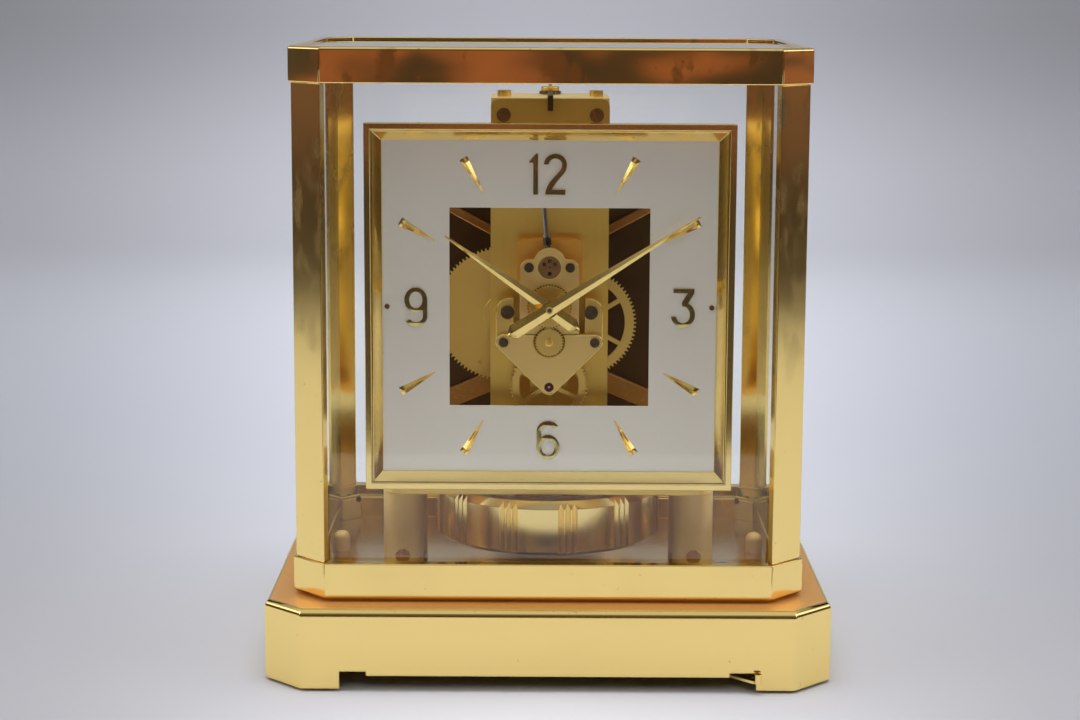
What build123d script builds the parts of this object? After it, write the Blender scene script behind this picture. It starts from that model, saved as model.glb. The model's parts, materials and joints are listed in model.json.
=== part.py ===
"""Glass-cased torsion-pendulum table clock, driven by an air-pressure drum.

Millimetres, +Z up, the front of the clock faces -Y. The origin is on the table, under the
middle of the plinth. Depths along Y are negative towards the front glass.
"""
import os
from math import atan2, cos, degrees, hypot, radians, sin, sqrt

from build123d import *

# Case and plinth
case_width = 186.0
case_depth = 138.0
case_corner = 12.0
rail_wall = 4.8
lower_rail_height = 13.3
lower_rail_lip = 1.2
top_rail_height = 12.7
top_rail_round = 1.2
top_rim_wall = 3.4
top_ledge_width = 3.0
top_ledge_height = 2.0
top_room = 6.8
post_inset = 0.85
post_corner = 11.3
post_thickness = 4.8
post_flank = 3.05
glass_thickness = 2.5
glass_gap = 0.3
glass_sill_width = 3.2
glass_lip = 4.6
glass_overlap = 1.2
plinth_margin = 10.0
plinth_corner = 14.15
plinth_height = 29.4
plinth_wall = 3.0
plinth_deck = 3.0
plinth_edge_round = 2.9
table_gap = 1.0
seat_thickness = 0.9
seat_inset = 3.0
cutout_margin = 14.0
cutout_height = 4.8
notch_width = 9.5
notch_height = 6.4

# Feet, lock lever and fittings on the floor
foot_side_inset = 21.0
foot_front_inset = 27.0
foot_back_inset = 21.0
foot_radius = 9.0
foot_height = 7.0
foot_stem_radius = 3.0
foot_stem_reach = 14.0
foot_boss_radius = 6.5
foot_gap = 0.2
knurl_count = 24
knurl_depth = 0.5
lever_side_gap = 1.9
lever_front_gap = 0.35
lever_knob_lead = 0.45
lever_root_width = 9.0
lever_tip_width = 2.0
lever_thickness = 1.0
lever_height = 4.2
lever_eye_radius = 6.0
lever_pin_radius = 2.0
lever_post_radius = 3.4
lever_knob_radius = 1.3
lever_knob_height = 2.6
lever_gap = 0.2
nut_radius = 3.25
nut_height = 7.6
nut_wall_gap = 4.1
nut_back = 6.0
level_radius = 4.6
level_height = 4.2
level_wall = 0.9
level_inset = 26.8
level_pillar_offset = 5.8

# Movement stand
pillar_radius = 7.5
pillar_inset = 38.2
pillar_setback = 9.0
pillar_back = 6.0
pillar_height = 31.7
pillar_screw_radius = 2.7
pillar_screw_rise = 7.2
pillar_screw_length = 4.0
base_thickness = 5.0
base_edge = 0.3
base_front_edge = 3.0
base_back_edge = 0.5
axis_rise = 67.0
column_width = 43.4
column_rise = 75.1
column_round = 3.0
main_plate_setback = 17.0
main_plate_thickness = 4.0
rear_bridge_thickness = 3.0
rear_bridge_left = -22.0
rear_bridge_right = 18.0
rear_bridge_margin = 6.0
plate_pillar_radius = 2.4
plate_pillar_side = 12.0
plate_pillar_over = 26.0
plate_pillar_under = 41.0
window_width = 5.5
window_height = 17.0
window_side = 9.6
window_drop = 5.4
fork_window_width = 18.0
fork_window_height = 14.0

# Dial and hands
bezel_size = 134.0
bezel_rim = 2.3
bezel_groove = 0.6
bezel_groove_depth = 0.5
bezel_depth = 6.0
bezel_wall = 5.0
dial_room = 11.4
dial_cover = 1.25
dial_sink = 4.5
dial_thickness = 1.0
dial_slip = 0.2
dial_border = 25.6
dial_foot_radius = 1.5
dial_foot_side = 15.0
dial_foot_gap = 4.6
marker_edge_gap = 6.45
marker_length = 14.5
marker_width = 3.4
marker_point = 0.5
marker_height = 1.0
marker_end_slope = 1.9
marker_end_height = 0.1
shown_hours = 10
shown_minutes = 9.65
hand_thickness = 1.2
hour_hand_sink = 0.8
hour_hand_short = 17.6
hour_hand_tail = 13.4
hour_hand_width = 5.2
hand_spacing = 2.4
minute_hand_over = 3.05
minute_hand_tail = 18.1
minute_hand_width = 5.5
hand_tip_width = 0.6
hand_heel = 3.0
hand_hub_radius = 3.0
hand_hub_thickness = 0.6
hand_nut_radius = 1.3
hand_nut_height = 0.6

# Gear train: teeth, and the module where it is set by itself
train_module = 0.5
centre_module = 0.46
tooth_addendum = 0.8
tooth_dedendum = 1.2
tooth_root_share = 0.28
tooth_tip_share = 0.09
centre_teeth = 24
third_small_teeth = 40
third_teeth = 80
escape_pinion_teeth = 12
cannon_teeth = 8
minute_wheel_teeth = 64
setting_teeth = 30
hour_teeth = 45
minute_pinion_teeth = 12
second_teeth = 58
second_pinion_teeth = 20
barrel_teeth = 100
third_aim = -34.6
escape_aim = 142.8
barrel_aim = 125.1
minute_drop = 13.2
second_drop = 30.1
wheel_thickness = 1.2
thin_wheel = 1.0
level_gap = 0.6
pinion_overhang = 0.5
wheel_rim = 2.4
wheel_hub_radius = 3.2
wheel_arm_width = 1.6
wheel_arms = 6
second_arm_aim = 35.0
third_arm_aim = -29.0
third_rim = 3.3
escape_radius = 5.5
escape_teeth = 15
escape_thickness = 0.7
escape_tooth_depth = 1.1
barrel_drum_radius = 22.5
barrel_drum_depth = 4.5
barrel_ring_radius = 7.2
barrel_ring_height = 1.6
barrel_hole_radius = 0.8
barrel_hole_reach = 20.0
barrel_hole_aim = 245.0
arbor_radius = 0.8
pivot_radius = 0.4
barrel_arbor_radius = 1.5
cannon_tube_radius = 1.1
hour_pipe_radius = 1.9
setting_boss_radius = 1.6
setting_boss_height = 1.2
setting_boss_round = 1.0
setting_pocket_depth = 1.0
barrel_ring_step = 1.6
running_gap = 0.05
seat_gap = 0.02

# Bridges, escapement and jewels
bridge_setback = 8.0
bridge_thickness = 2.0
kite_ear_side = 16.75
kite_ear_drop = 13.45
kite_ear_radius = 2.9
kite_foot_radius = 3.0
block_inner = 13.0
block_outer = 19.6
block_under = 13.5
block_over = 2.6
block_round = 5.0
cock_width = 21.6
cock_under = 10.2
cock_over = 17.0
cock_round = 3.4
cock_lobe_radius = 5.7
cock_lobe_rise = 1.5
cock_neck_round = 1.0
cock_screw_side = 7.5
cock_leg_radius = 1.5
pallet_rise = 14.2
platform_width = 23.8
platform_under = 5.2
platform_over = 9.8
platform_round = 2.0
platform_gap = 2.8
setting_radius = 4.2
setting_hole_radius = 0.75
setting_hole_ring = 2.3
jewel_radius = 1.6
screw_radius = 1.75
big_screw_radius = 2.5
screw_head = 0.7
screw_slot = 0.5
kite_slot_aim = 35.0
cock_slot_aim = 60.0
block_slot_aim = 20.0
big_screw_rise = -2.6
big_screw_side = 15.3
lever_lean = 5.5
lever_arm_width = 1.4
lever_rod_radius = 0.9
lever_collar_radius = 1.5
lever_collar_gap = 0.9
lever_collar_length = 4.0
fork_rise = 54.0
fork_radius = 0.5
fork_gap = 1.4
pallet_stone_radius = 0.5
pallet_near_gap = 0.9
pallet_far_gap = 1.8
pallet_spread = 22.0

# Suspension and pendulum
bracket_back = 8.0
bracket_height = 9.1
bracket_screw_side = 17.0
bracket_screw_drop = 6.0
bracket_screw_radius = 2.6
bracket_screw_turn = 15.0
bracket_cap_setback = 13.0
bracket_cap_radius = 2.5
bracket_cap_height = 2.4
head_radius = 3.4
head_height = 2.5
head_collar_radius = 2.5
head_pin_radius = 0.6
head_pin_height = 1.1
regulator_width = 2.0
regulator_thickness = 1.0
regulator_drop = 4.6
regulator_eye = 1.6
regulator_front_gap = 0.8
wire_radius = 0.3
wire_bore_gap = 1.2
rod_radius = 1.5
rod_top_gap = 10.0
roller_radius = 4.0
roller_thickness = 2.0
roller_drop = 3.5
ring_pillar_gap = 4.25
ring_wall = 6.05
ring_rise = 10.0
ring_height = 20.6
ring_bevel = 1.5
ring_top_bevel = 3.0
flute_groups = 12
flutes_in_group = 3
flute_width = 2.6
flute_depth = 1.2
flute_phase = 9.8
hub_radius = 6.0
hub_height = 5.0
hub_drop = 1.5
hub_arm_width = 5.0
hub_arm_thickness = 2.0
hub_arms = 4

# Air-pressure drum at the back
drum_radius = 60.0
drum_drop = 4.0
drum_front = 16.0
drum_wall = 2.0
drum_glass_gap = 4.4
drum_lid_thickness = 4.0
drum_lid_overhang = 1.2
capsule_clearance = 5.0
capsule_pleat = 5.0
capsule_pleats = 5
capsule_margin = 1.5
spider_thickness = 3.0
spider_gap = 2.0
spider_width = 36.0
spider_arm_side = 12.0
spider_arm_over = 16.0
spider_arm_rise = 40.5
spider_arm_width = 3.2
spider_leg_under = 33.0
spider_leg_fall = 46.6
spider_leg_width = 7.5
spacer_radius = 2.5
spacer_side = 13.0

# Levels and places worked out from the sizes above
plinth_width = case_width + 2 * plinth_margin
plinth_depth = case_depth + 2 * plinth_margin
cutout_width = plinth_width - 2 * (plinth_corner + cutout_margin)
foot_side = plinth_width / 2 - foot_side_inset
foot_front = plinth_depth / 2 - foot_front_inset
foot_back = plinth_depth / 2 - foot_back_inset
dial_size = bezel_size - 2 * bezel_wall
dial_opening = dial_size - 2 * dial_cover
dial_aperture = dial_size - 2 * dial_border
dial_foot_offset = dial_aperture / 2 + dial_foot_gap
marker_outer = (dial_opening / 2 - marker_edge_gap) / cos(radians(30))
marker_inner = marker_outer - marker_length
minute_hand_length = dial_opening / 2 + minute_hand_over
hour_hand_length = minute_hand_length - hour_hand_short
plinth_top = table_gap + plinth_height
deck_underside = plinth_top - plinth_deck
floor_top = plinth_top + seat_thickness
lower_top = floor_top + lower_rail_height
sill_top = lower_top - glass_lip
base_bottom = floor_top + pillar_height
base_top = base_bottom + base_thickness
axis_height = base_top + axis_rise
column_top = axis_height + column_rise
upper_bottom = column_top + top_room
case_top = upper_bottom + top_rail_height
ledge_bottom = upper_bottom + 0.56 * top_rail_height
ledge_top = ledge_bottom + top_ledge_height
glass_top = upper_bottom + glass_overlap
post_reach = post_inset + post_corner + (post_thickness - post_flank) / sqrt(2)
glass_half_width = case_width / 2 - post_reach - glass_gap
glass_half_depth = case_depth / 2 - post_reach - glass_gap
side_pane = case_width / 2 - rail_wall - glass_gap - glass_thickness / 2
front_pane = case_depth / 2 - rail_wall - glass_gap - glass_thickness / 2
back_glass_face = front_pane - glass_thickness / 2
pillar_side = case_width / 2 - pillar_inset
level_side = case_width / 2 - level_inset
ring_radius = pillar_side - pillar_radius - ring_pillar_gap

# Depths of the plates, set from the front glass
bezel_front = dial_room - back_glass_face
bezel_back = bezel_front + bezel_depth
dial_face = bezel_front + dial_sink
hour_hand_back = bezel_front + hour_hand_sink
minute_hand_back = hour_hand_back - hand_spacing
bridge_face = bezel_front + bridge_setback
bridge_back = bridge_face + bridge_thickness
platform_face = bridge_back + platform_gap
main_plate_front = bezel_front + main_plate_setback
main_plate_back = main_plate_front + main_plate_thickness
pillar_front = main_plate_front + pillar_setback
base_front = main_plate_front - base_front_edge
base_back = pillar_back + pillar_radius + base_back_edge
base_width = 2 * (pillar_side + pillar_radius - base_edge)
level_front = pillar_front - level_pillar_offset
fork_reach = -roller_radius - fork_gap
bracket_cap_front = main_plate_front + bracket_cap_setback

# Depths of the wheels, from the front
hour_gear_back = bridge_face - level_gap
hour_gear_front = hour_gear_back - thin_wheel
minute_wheel_front = bridge_back + 2 * level_gap
minute_wheel_back = minute_wheel_front + thin_wheel
second_wheel_front = minute_wheel_back + 2 * level_gap
second_wheel_back = second_wheel_front + wheel_thickness
centre_gear_front = main_plate_back + level_gap
centre_gear_back = centre_gear_front + wheel_thickness
third_wheel_front = centre_gear_back + 1.5 * level_gap
third_wheel_back = third_wheel_front + wheel_thickness
barrel_front = third_wheel_back + 2.5 * level_gap
barrel_teeth_back = barrel_front + wheel_thickness + 0.3
barrel_back = barrel_teeth_back + barrel_drum_depth
rear_bridge_front = barrel_back + 2 * level_gap
rear_bridge_back = rear_bridge_front + rear_bridge_thickness
escape_front = bridge_back + level_gap
escape_back = escape_front + escape_thickness


def distance(teeth_a, teeth_b, module):
    """Centre distance of two meshed gears."""
    return module * (teeth_a + teeth_b) / 2


def step(start, length, aim):
    """The point at a length and an angle, anticlockwise from +X, from a start point."""
    return (start[0] + length * cos(radians(aim)), start[1] + length * sin(radians(aim)))


def aim_from(start, end):
    """The angle of the line from one point to another, in degrees."""
    return degrees(atan2(end[1] - start[1], end[0] - start[0]))


# Arbor places in the upright plane, as (X, height)
centre_at = (0.0, axis_height)
minute_at = (0.0, axis_height - minute_drop)
second_at = (0.0, axis_height - second_drop)
pallet_at = (0.0, axis_height + pallet_rise)
third_at = step(centre_at, distance(centre_teeth, third_small_teeth, centre_module), third_aim)
escape_at = step(third_at, distance(third_teeth, escape_pinion_teeth, train_module), escape_aim)
barrel_at = step(second_at, distance(barrel_teeth, second_pinion_teeth, train_module), barrel_aim)
motion_module = 2 * minute_drop / (cannon_teeth + minute_wheel_teeth)
hour_module = 2 * minute_drop / (setting_teeth + hour_teeth)
second_module = 2 * (second_drop - minute_drop) / (second_teeth + minute_pinion_teeth)


def meshed(phase, at, teeth, mate_at, mate_teeth):
    """The mate's tooth angle that puts its gaps on the teeth of a gear with a given tooth angle."""
    aim = aim_from(at, mate_at)
    share = (aim - phase) * teeth / 360
    return aim + 180 - (0.5 - share) * 360 / mate_teeth


# Tooth angles, passed on from the centre arbor through every mesh
centre_phase = 0.0
third_small_phase = meshed(centre_phase, centre_at, centre_teeth, third_at, third_small_teeth)
third_phase = 0.0
escape_phase = meshed(third_phase, third_at, third_teeth, escape_at, escape_pinion_teeth)
minute_phase = meshed(centre_phase, centre_at, cannon_teeth, minute_at, minute_wheel_teeth)
setting_phase = 0.0
hour_phase = meshed(setting_phase, minute_at, setting_teeth, centre_at, hour_teeth)
minute_pinion_phase = 0.0
second_phase = meshed(minute_pinion_phase, minute_at, minute_pinion_teeth, second_at, second_teeth)
second_pinion_phase = 0.0
barrel_phase = meshed(second_pinion_phase, second_at, second_pinion_teeth, barrel_at, barrel_teeth)


def upright(depth):
    """The upright plane at a depth, facing the front: local x is X and local y is height."""
    return Plane.XZ.offset(-depth)


def eight_sided(width, depth, corner, height):
    """A rectangle with its corners cut, lying at a height."""
    with BuildSketch(Plane.XY.offset(height)) as outline:
        Rectangle(width, depth)
        chamfer(outline.vertices(), corner)
    return outline.sketch


def eight_sided_inside(wall, height):
    """The case's outline moved in by a wall."""
    corner = case_corner - wall * (2 - sqrt(2))
    return eight_sided(case_width - 2 * wall, case_depth - 2 * wall, corner, height)


def round_bar(at, radius, front, back, mode=Mode.ADD):
    """A round bar, or a hole, along the depth axis of the part that is being built."""
    with BuildSketch(upright(back)) as face:
        with Locations(at):
            Circle(radius)
    extrude(face.sketch, amount=back - front, mode=mode)


def round_post(places, radius, bottom, top, mode=Mode.ADD):
    """Round posts, or holes, along the height axis at one or more places."""
    with BuildSketch(Plane.XY.offset(bottom)) as face:
        with Locations(*places):
            Circle(radius)
    extrude(face.sketch, amount=top - bottom, mode=mode)


def tooth_points(teeth, module, phase):
    """The outline of a gear round its own centre, four points to a tooth."""
    root = module * (teeth / 2 - tooth_dedendum)
    tip = module * (teeth / 2 + tooth_addendum)
    rising = ((root, -tooth_root_share), (tip, -tooth_tip_share))
    falling = ((tip, tooth_tip_share), (root, tooth_root_share))
    points = []
    for tooth in range(teeth):
        for radius, share in rising + falling:
            points.append(step((0, 0), radius, phase + 360 / teeth * (tooth + share)))
    return points


def gear(at, teeth, module, phase, front, back):
    """A plain gear, added to the part that is being built."""
    with BuildSketch(upright(back)) as face:
        with Locations(at):
            Polygon(*tooth_points(teeth, module, phase), align=None)
    extrude(face.sketch, amount=back - front)


def crossed_gear(at, teeth, module, phase, front, back, arm_aim, rim):
    """A gear with its disc cut away to a rim, arms and a hub."""
    rim_radius = module * (teeth / 2 - tooth_dedendum) - rim
    arm_length = rim_radius + rim / 2 - wheel_hub_radius / 2
    with BuildSketch(upright(back)) as face:
        with Locations(at):
            Polygon(*tooth_points(teeth, module, phase), align=None)
            Circle(rim_radius, mode=Mode.SUBTRACT)
            Circle(wheel_hub_radius)
            with PolarLocations(wheel_hub_radius / 2 + arm_length / 2, wheel_arms, start_angle=arm_aim):
                Rectangle(arm_length, wheel_arm_width)
    extrude(face.sketch, amount=back - front)


def link(start, end, width):
    """A round-ended bar between two points of the sketch that is being drawn."""
    middle = ((start[0] + end[0]) / 2, (start[1] + end[1]) / 2)
    with Locations(middle):
        SlotCenterToCenter(hypot(end[0] - start[0], end[1] - start[1]), width, rotation=aim_from(start, end))


def slotted_head(at, radius, seat, aim):
    """A slotted screw head standing forward of a seat depth."""
    round_bar(at, radius, seat - screw_head, seat)
    with BuildSketch(upright(seat - screw_head / 2)) as slot:
        with Locations(at):
            Rectangle(3 * radius, screw_slot, rotation=aim)
    extrude(slot.sketch, amount=screw_head, mode=Mode.SUBTRACT)


def faceted_bar(clock_angle, back, stations):
    """A tapering bar with a ridge, through (distance from the axis, width, ridge height) stations."""
    turn = radians(clock_angle)
    sections = []
    for reach, width, height in stations:
        origin = (reach * sin(turn), back, axis_height + reach * cos(turn))
        plane = Plane(origin=origin, x_dir=(-cos(turn), 0, sin(turn)), z_dir=(sin(turn), 0, cos(turn)))
        with BuildSketch(plane) as section:
            Polygon((-width / 2, 0), (width / 2, 0), (0, height), align=None)
        sections.append(section.sketch)
    loft(sections, ruled=True)


def hand_stations(length, tail, width):
    """A hand's sections: blunt heel, widest place and fine tip."""
    heel = (-tail, hand_tip_width, hand_thickness / 3)
    widest = (hand_heel - tail, width, hand_thickness)
    tip = (length, hand_tip_width, hand_thickness / 3)
    return (heel, widest, tip)


# Plinth and floor
foot_places = [(-foot_side, -foot_front), (foot_side, -foot_front), (0, foot_back)]

with BuildPart() as plinth:
    extrude(eight_sided(plinth_width, plinth_depth, plinth_corner, table_gap), amount=plinth_height)
    fillet(plinth.faces().sort_by(Axis.Z)[-1].edges(), plinth_edge_round)
    hollow_corner = plinth_corner - plinth_wall * (2 - sqrt(2))
    hollow_width = plinth_width - 2 * plinth_wall
    hollow_depth = plinth_depth - 2 * plinth_wall
    extrude(
        eight_sided(hollow_width, hollow_depth, hollow_corner, table_gap),
        amount=plinth_height - plinth_deck,
        mode=Mode.SUBTRACT,
    )
    with BuildSketch(upright(plinth_wall - plinth_depth / 2)) as cutout:
        with Locations((0, table_gap)):
            Rectangle(cutout_width, cutout_height, align=(Align.CENTER, Align.MIN))
            with Locations((-cutout_width / 2, 0)):
                Rectangle(notch_width, notch_height, align=(Align.MIN, Align.MIN))
            with Locations((cutout_width / 2, 0)):
                Rectangle(notch_width, notch_height, align=(Align.MAX, Align.MIN))
    extrude(cutout.sketch, amount=plinth_wall, mode=Mode.SUBTRACT)
    round_post(foot_places, foot_boss_radius, foot_height + foot_gap, deck_underside)
    bore_top = foot_height + foot_stem_reach + foot_gap
    round_post(foot_places, foot_stem_radius + running_gap, foot_height, bore_top, Mode.SUBTRACT)

with BuildPart() as floor_plate:
    seat_corner = case_corner - seat_inset * (2 - sqrt(2))
    seat_outline = (case_width - 2 * seat_inset, case_depth - 2 * seat_inset, seat_corner)
    extrude(eight_sided(*seat_outline, plinth_top), amount=seat_thickness)


def screw_foot(place):
    """A levelling foot: knurled disc with a rounded sole, on a plain stem."""
    with BuildPart() as foot:
        with BuildSketch(Plane.XY) as disc:
            with Locations(place):
                Circle(foot_radius)
                with PolarLocations(foot_radius, knurl_count):
                    Rectangle(2 * knurl_depth, 2 * knurl_depth, rotation=45, mode=Mode.SUBTRACT)
        extrude(disc.sketch, amount=foot_height)
        round_post([place], foot_stem_radius, foot_height, foot_height + foot_stem_reach)
    return foot


levelling_foot_left = screw_foot(foot_places[0])
levelling_foot_right = screw_foot(foot_places[1])

with BuildPart() as rear_foot:
    round_post([foot_places[2]], foot_radius, 0, foot_height)
    fillet(rear_foot.edges().group_by(Axis.Z)[-1], foot_gap * 5)
    round_post([foot_places[2]], foot_stem_radius, foot_height, foot_height + foot_stem_reach)

# Pendulum lock: a lever under the deck that swings from one notch to the other
lever_end = (
    cutout_width / 2 + lever_knob_lead,
    -plinth_depth / 2 - lever_knob_radius - lever_front_gap,
)
lever_tip = (cutout_width / 2 - lever_side_gap, -plinth_depth / 2)
lever_aim = aim_from((0, 0), lever_tip)
lever_reach = hypot(*lever_tip)

with BuildPart() as lock_pivot:
    pin_bottom = lever_height - lever_gap
    pin_top = lever_height + lever_thickness + lever_gap
    round_post([(0, 0)], lever_post_radius, pin_top, deck_underside)
    round_post([(0, 0)], lever_pin_radius, pin_bottom, pin_top)
    round_post([(0, 0)], lever_post_radius, pin_bottom - lever_thickness, pin_bottom)

with BuildPart() as lock_lever:
    with BuildSketch(Plane.XY.offset(lever_height)) as strip:
        Circle(lever_eye_radius)
        with Locations(Location((0, 0, 0), (0, 0, lever_aim))):
            Polygon(
                (0, -lever_root_width / 2),
                (lever_reach, -lever_tip_width / 2),
                (lever_reach, lever_tip_width / 2),
                (0, lever_root_width / 2),
                align=None,
            )
        link(lever_tip, lever_end, lever_tip_width)
        with Locations(lever_end):
            Circle(lever_knob_radius)
        Circle(lever_pin_radius + running_gap, mode=Mode.SUBTRACT)
    extrude(strip.sketch, amount=lever_thickness)
    knob_bottom = lever_height + lever_thickness
    round_post([lever_end], lever_knob_radius, knob_bottom, knob_bottom + lever_knob_height)

# Glass case
with BuildPart() as lower_frame:
    extrude(eight_sided(case_width, case_depth, case_corner, floor_top), amount=lower_rail_height)
    chamfer(lower_frame.faces().sort_by(Axis.Z)[0].edges(), lower_rail_lip)
    sill_opening = eight_sided_inside(rail_wall + glass_sill_width, floor_top)
    extrude(sill_opening, amount=lower_rail_height, mode=Mode.SUBTRACT)
    extrude(eight_sided_inside(rail_wall, sill_top), amount=glass_lip, mode=Mode.SUBTRACT)

with BuildPart() as corner_posts:
    half_width = case_width / 2 - post_inset
    half_depth = case_depth / 2 - post_inset
    shift = post_thickness / sqrt(2)
    flank = post_flank / sqrt(2)
    with BuildSketch(Plane.XY.offset(lower_top)) as sections:
        for side in (-1, 1):
            for end in (-1, 1):
                Polygon(
                    (side * half_width, end * (half_depth - post_corner)),
                    (side * (half_width - post_corner), end * half_depth),
                    (side * (half_width - post_corner - shift + flank), end * (half_depth - shift - flank)),
                    (side * (half_width - shift - flank), end * (half_depth - post_corner - shift + flank)),
                    align=None,
                )
    extrude(sections.sketch, amount=upper_bottom - lower_top)

with BuildPart() as top_frame:
    extrude(eight_sided(case_width, case_depth, case_corner, upper_bottom), amount=top_rail_height)
    fillet(top_frame.faces().sort_by(Axis.Z)[-1].edges(), top_rail_round)
    below_ledge = ledge_bottom - upper_bottom
    extrude(eight_sided_inside(rail_wall, upper_bottom), amount=below_ledge, mode=Mode.SUBTRACT)
    ledge_opening = eight_sided_inside(top_rim_wall + top_ledge_width, ledge_bottom)
    extrude(ledge_opening, amount=top_rail_height, mode=Mode.SUBTRACT)
    extrude(eight_sided_inside(top_rim_wall, ledge_top), amount=top_rail_height, mode=Mode.SUBTRACT)


def pane(width, depth, place):
    """An upright sheet of glass standing on the sill."""
    with BuildPart() as sheet:
        with BuildSketch(Plane.XY.offset(sill_top)) as foot:
            with Locations(place):
                Rectangle(width, depth)
        extrude(foot.sketch, amount=glass_top - sill_top)
    return sheet


front_glass = pane(2 * glass_half_width, glass_thickness, (0, -front_pane))
back_glass = pane(2 * glass_half_width, glass_thickness, (0, front_pane))
left_glass = pane(glass_thickness, 2 * glass_half_depth, (-side_pane, 0))
right_glass = pane(glass_thickness, 2 * glass_half_depth, (side_pane, 0))

with BuildPart() as top_glass:
    extrude(eight_sided_inside(top_rim_wall + glass_gap, ledge_top), amount=glass_thickness)

with BuildPart() as case_nuts:
    nut_side = case_width / 2 - rail_wall - glass_sill_width - nut_wall_gap
    nut_wall = nut_height - nut_radius
    for side in (-1, 1):
        round_post([(side * nut_side, nut_back)], nut_radius, floor_top, floor_top + nut_wall)
    crowns = case_nuts.faces().group_by(Axis.Z)[-1]
    extrude(crowns, amount=nut_radius)
    fillet(case_nuts.edges().group_by(Axis.Z)[-1], 0.85 * nut_radius)

level_at = (level_side, level_front)

with BuildPart() as spirit_level_cup:
    round_post([level_at], level_radius, floor_top, floor_top + level_height)
    vial_radius = level_radius - level_wall
    vial_floor = floor_top + level_height / 3
    round_post([level_at], vial_radius, vial_floor, floor_top + level_height, Mode.SUBTRACT)

with BuildPart() as spirit_level_glass:
    round_post([level_at], vial_radius - running_gap, vial_floor, floor_top + level_height + level_wall / 2)
    fillet(spirit_level_glass.edges().group_by(Axis.Z)[-1], level_wall / 2)

# Movement stand
with BuildPart() as movement_pillars:
    pillar_rows = (pillar_front, pillar_back)
    pillar_places = [(side * pillar_side, row) for side in (-1, 1) for row in pillar_rows]
    round_post(pillar_places, pillar_radius, floor_top, base_bottom)
    screw_height = floor_top + pillar_screw_rise
    screw_face = pillar_front - pillar_radius - screw_head
    screw_end = screw_face + screw_head + pillar_screw_length
    for side in (-1, 1):
        hole_at = (side * pillar_side, screw_height)
        round_bar(hole_at, pillar_screw_radius + running_gap, screw_face, screw_end, Mode.SUBTRACT)

with BuildPart() as pillar_screws:
    for side in (-1, 1):
        screw_at = (side * pillar_side, screw_height)
        round_bar(screw_at, pillar_screw_radius, screw_face + screw_head, screw_end)
        slotted_head(screw_at, pillar_screw_radius, screw_face + screw_head, 0)

with BuildPart() as movement_base:
    with BuildSketch(Plane.XY.offset(base_bottom)) as footprint:
        with Locations((0, (base_front + base_back) / 2)):
            RectangleRounded(base_width, base_back - base_front, pillar_radius)
        Circle(roller_radius + rod_radius, mode=Mode.SUBTRACT)
    extrude(footprint.sketch, amount=base_thickness)

plate_pillar_places = [
    (side * plate_pillar_side, axis_height + rise)
    for side in (-1, 1)
    for rise in (plate_pillar_over, -plate_pillar_under)
]

with BuildPart() as main_plate:
    with BuildSketch(upright(main_plate_back)) as column:
        with Locations((0, base_top)):
            Rectangle(column_width, column_top - base_top, align=(Align.CENTER, Align.MIN))
        fillet(column.vertices().group_by(Axis.Y)[-1], column_round)
        for side in (-1, 1):
            with Locations((side * window_side, second_at[1] - window_drop)):
                RectangleRounded(window_width, window_height, window_width / 3, mode=Mode.SUBTRACT)
        with Locations((0, axis_height + fork_rise)):
            RectangleRounded(fork_window_width, fork_window_height, column_round, mode=Mode.SUBTRACT)
    extrude(column.sketch, amount=main_plate_thickness)
    for bearing in (centre_at, minute_at, third_at, escape_at):
        round_bar(bearing, arbor_radius + running_gap, main_plate_front, main_plate_back, Mode.SUBTRACT)
    round_bar(second_at, 2 * arbor_radius, main_plate_front, main_plate_back, Mode.SUBTRACT)
    round_bar(barrel_at, barrel_arbor_radius + seat_gap, main_plate_front, main_plate_back, Mode.SUBTRACT)

with BuildPart() as rear_bridge:
    bridge_under = axis_height - plate_pillar_under - rear_bridge_margin
    bridge_over = axis_height + plate_pillar_over + rear_bridge_margin
    bridge_middle = ((rear_bridge_left + rear_bridge_right) / 2, (bridge_under + bridge_over) / 2)
    with BuildSketch(upright(rear_bridge_back)) as plate:
        with Locations(bridge_middle):
            bridge_width = rear_bridge_right - rear_bridge_left
            RectangleRounded(bridge_width, bridge_over - bridge_under, rear_bridge_margin)
    extrude(plate.sketch, amount=rear_bridge_thickness)
    round_bar(third_at, arbor_radius + running_gap, rear_bridge_front, rear_bridge_back, Mode.SUBTRACT)
    round_bar(second_at, arbor_radius + running_gap, rear_bridge_front, rear_bridge_back, Mode.SUBTRACT)
    round_bar(barrel_at, barrel_arbor_radius + seat_gap, rear_bridge_front, rear_bridge_back, Mode.SUBTRACT)

with BuildPart() as plate_pillars:
    for place in plate_pillar_places:
        round_bar(place, plate_pillar_radius, main_plate_back, rear_bridge_front)

# Front bridges
kite_ears = [(side * kite_ear_side, axis_height - kite_ear_drop) for side in (-1, 1)]

with BuildPart() as front_bridge:
    with BuildSketch(upright(bridge_back)) as kite:
        with Locations(*kite_ears):
            Circle(kite_ear_radius)
        with Locations(second_at):
            Circle(kite_foot_radius)
        make_hull()
    extrude(kite.sketch, amount=bridge_thickness)
    pocket_radius = hour_module * (setting_teeth / 2 + tooth_addendum) + running_gap
    round_bar(minute_at, pocket_radius, bridge_face, bridge_face + setting_pocket_depth, Mode.SUBTRACT)
    round_bar(minute_at, arbor_radius + running_gap, bridge_face, bridge_back, Mode.SUBTRACT)
    round_bar(second_at, jewel_radius + seat_gap, bridge_face, bridge_back, Mode.SUBTRACT)

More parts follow.
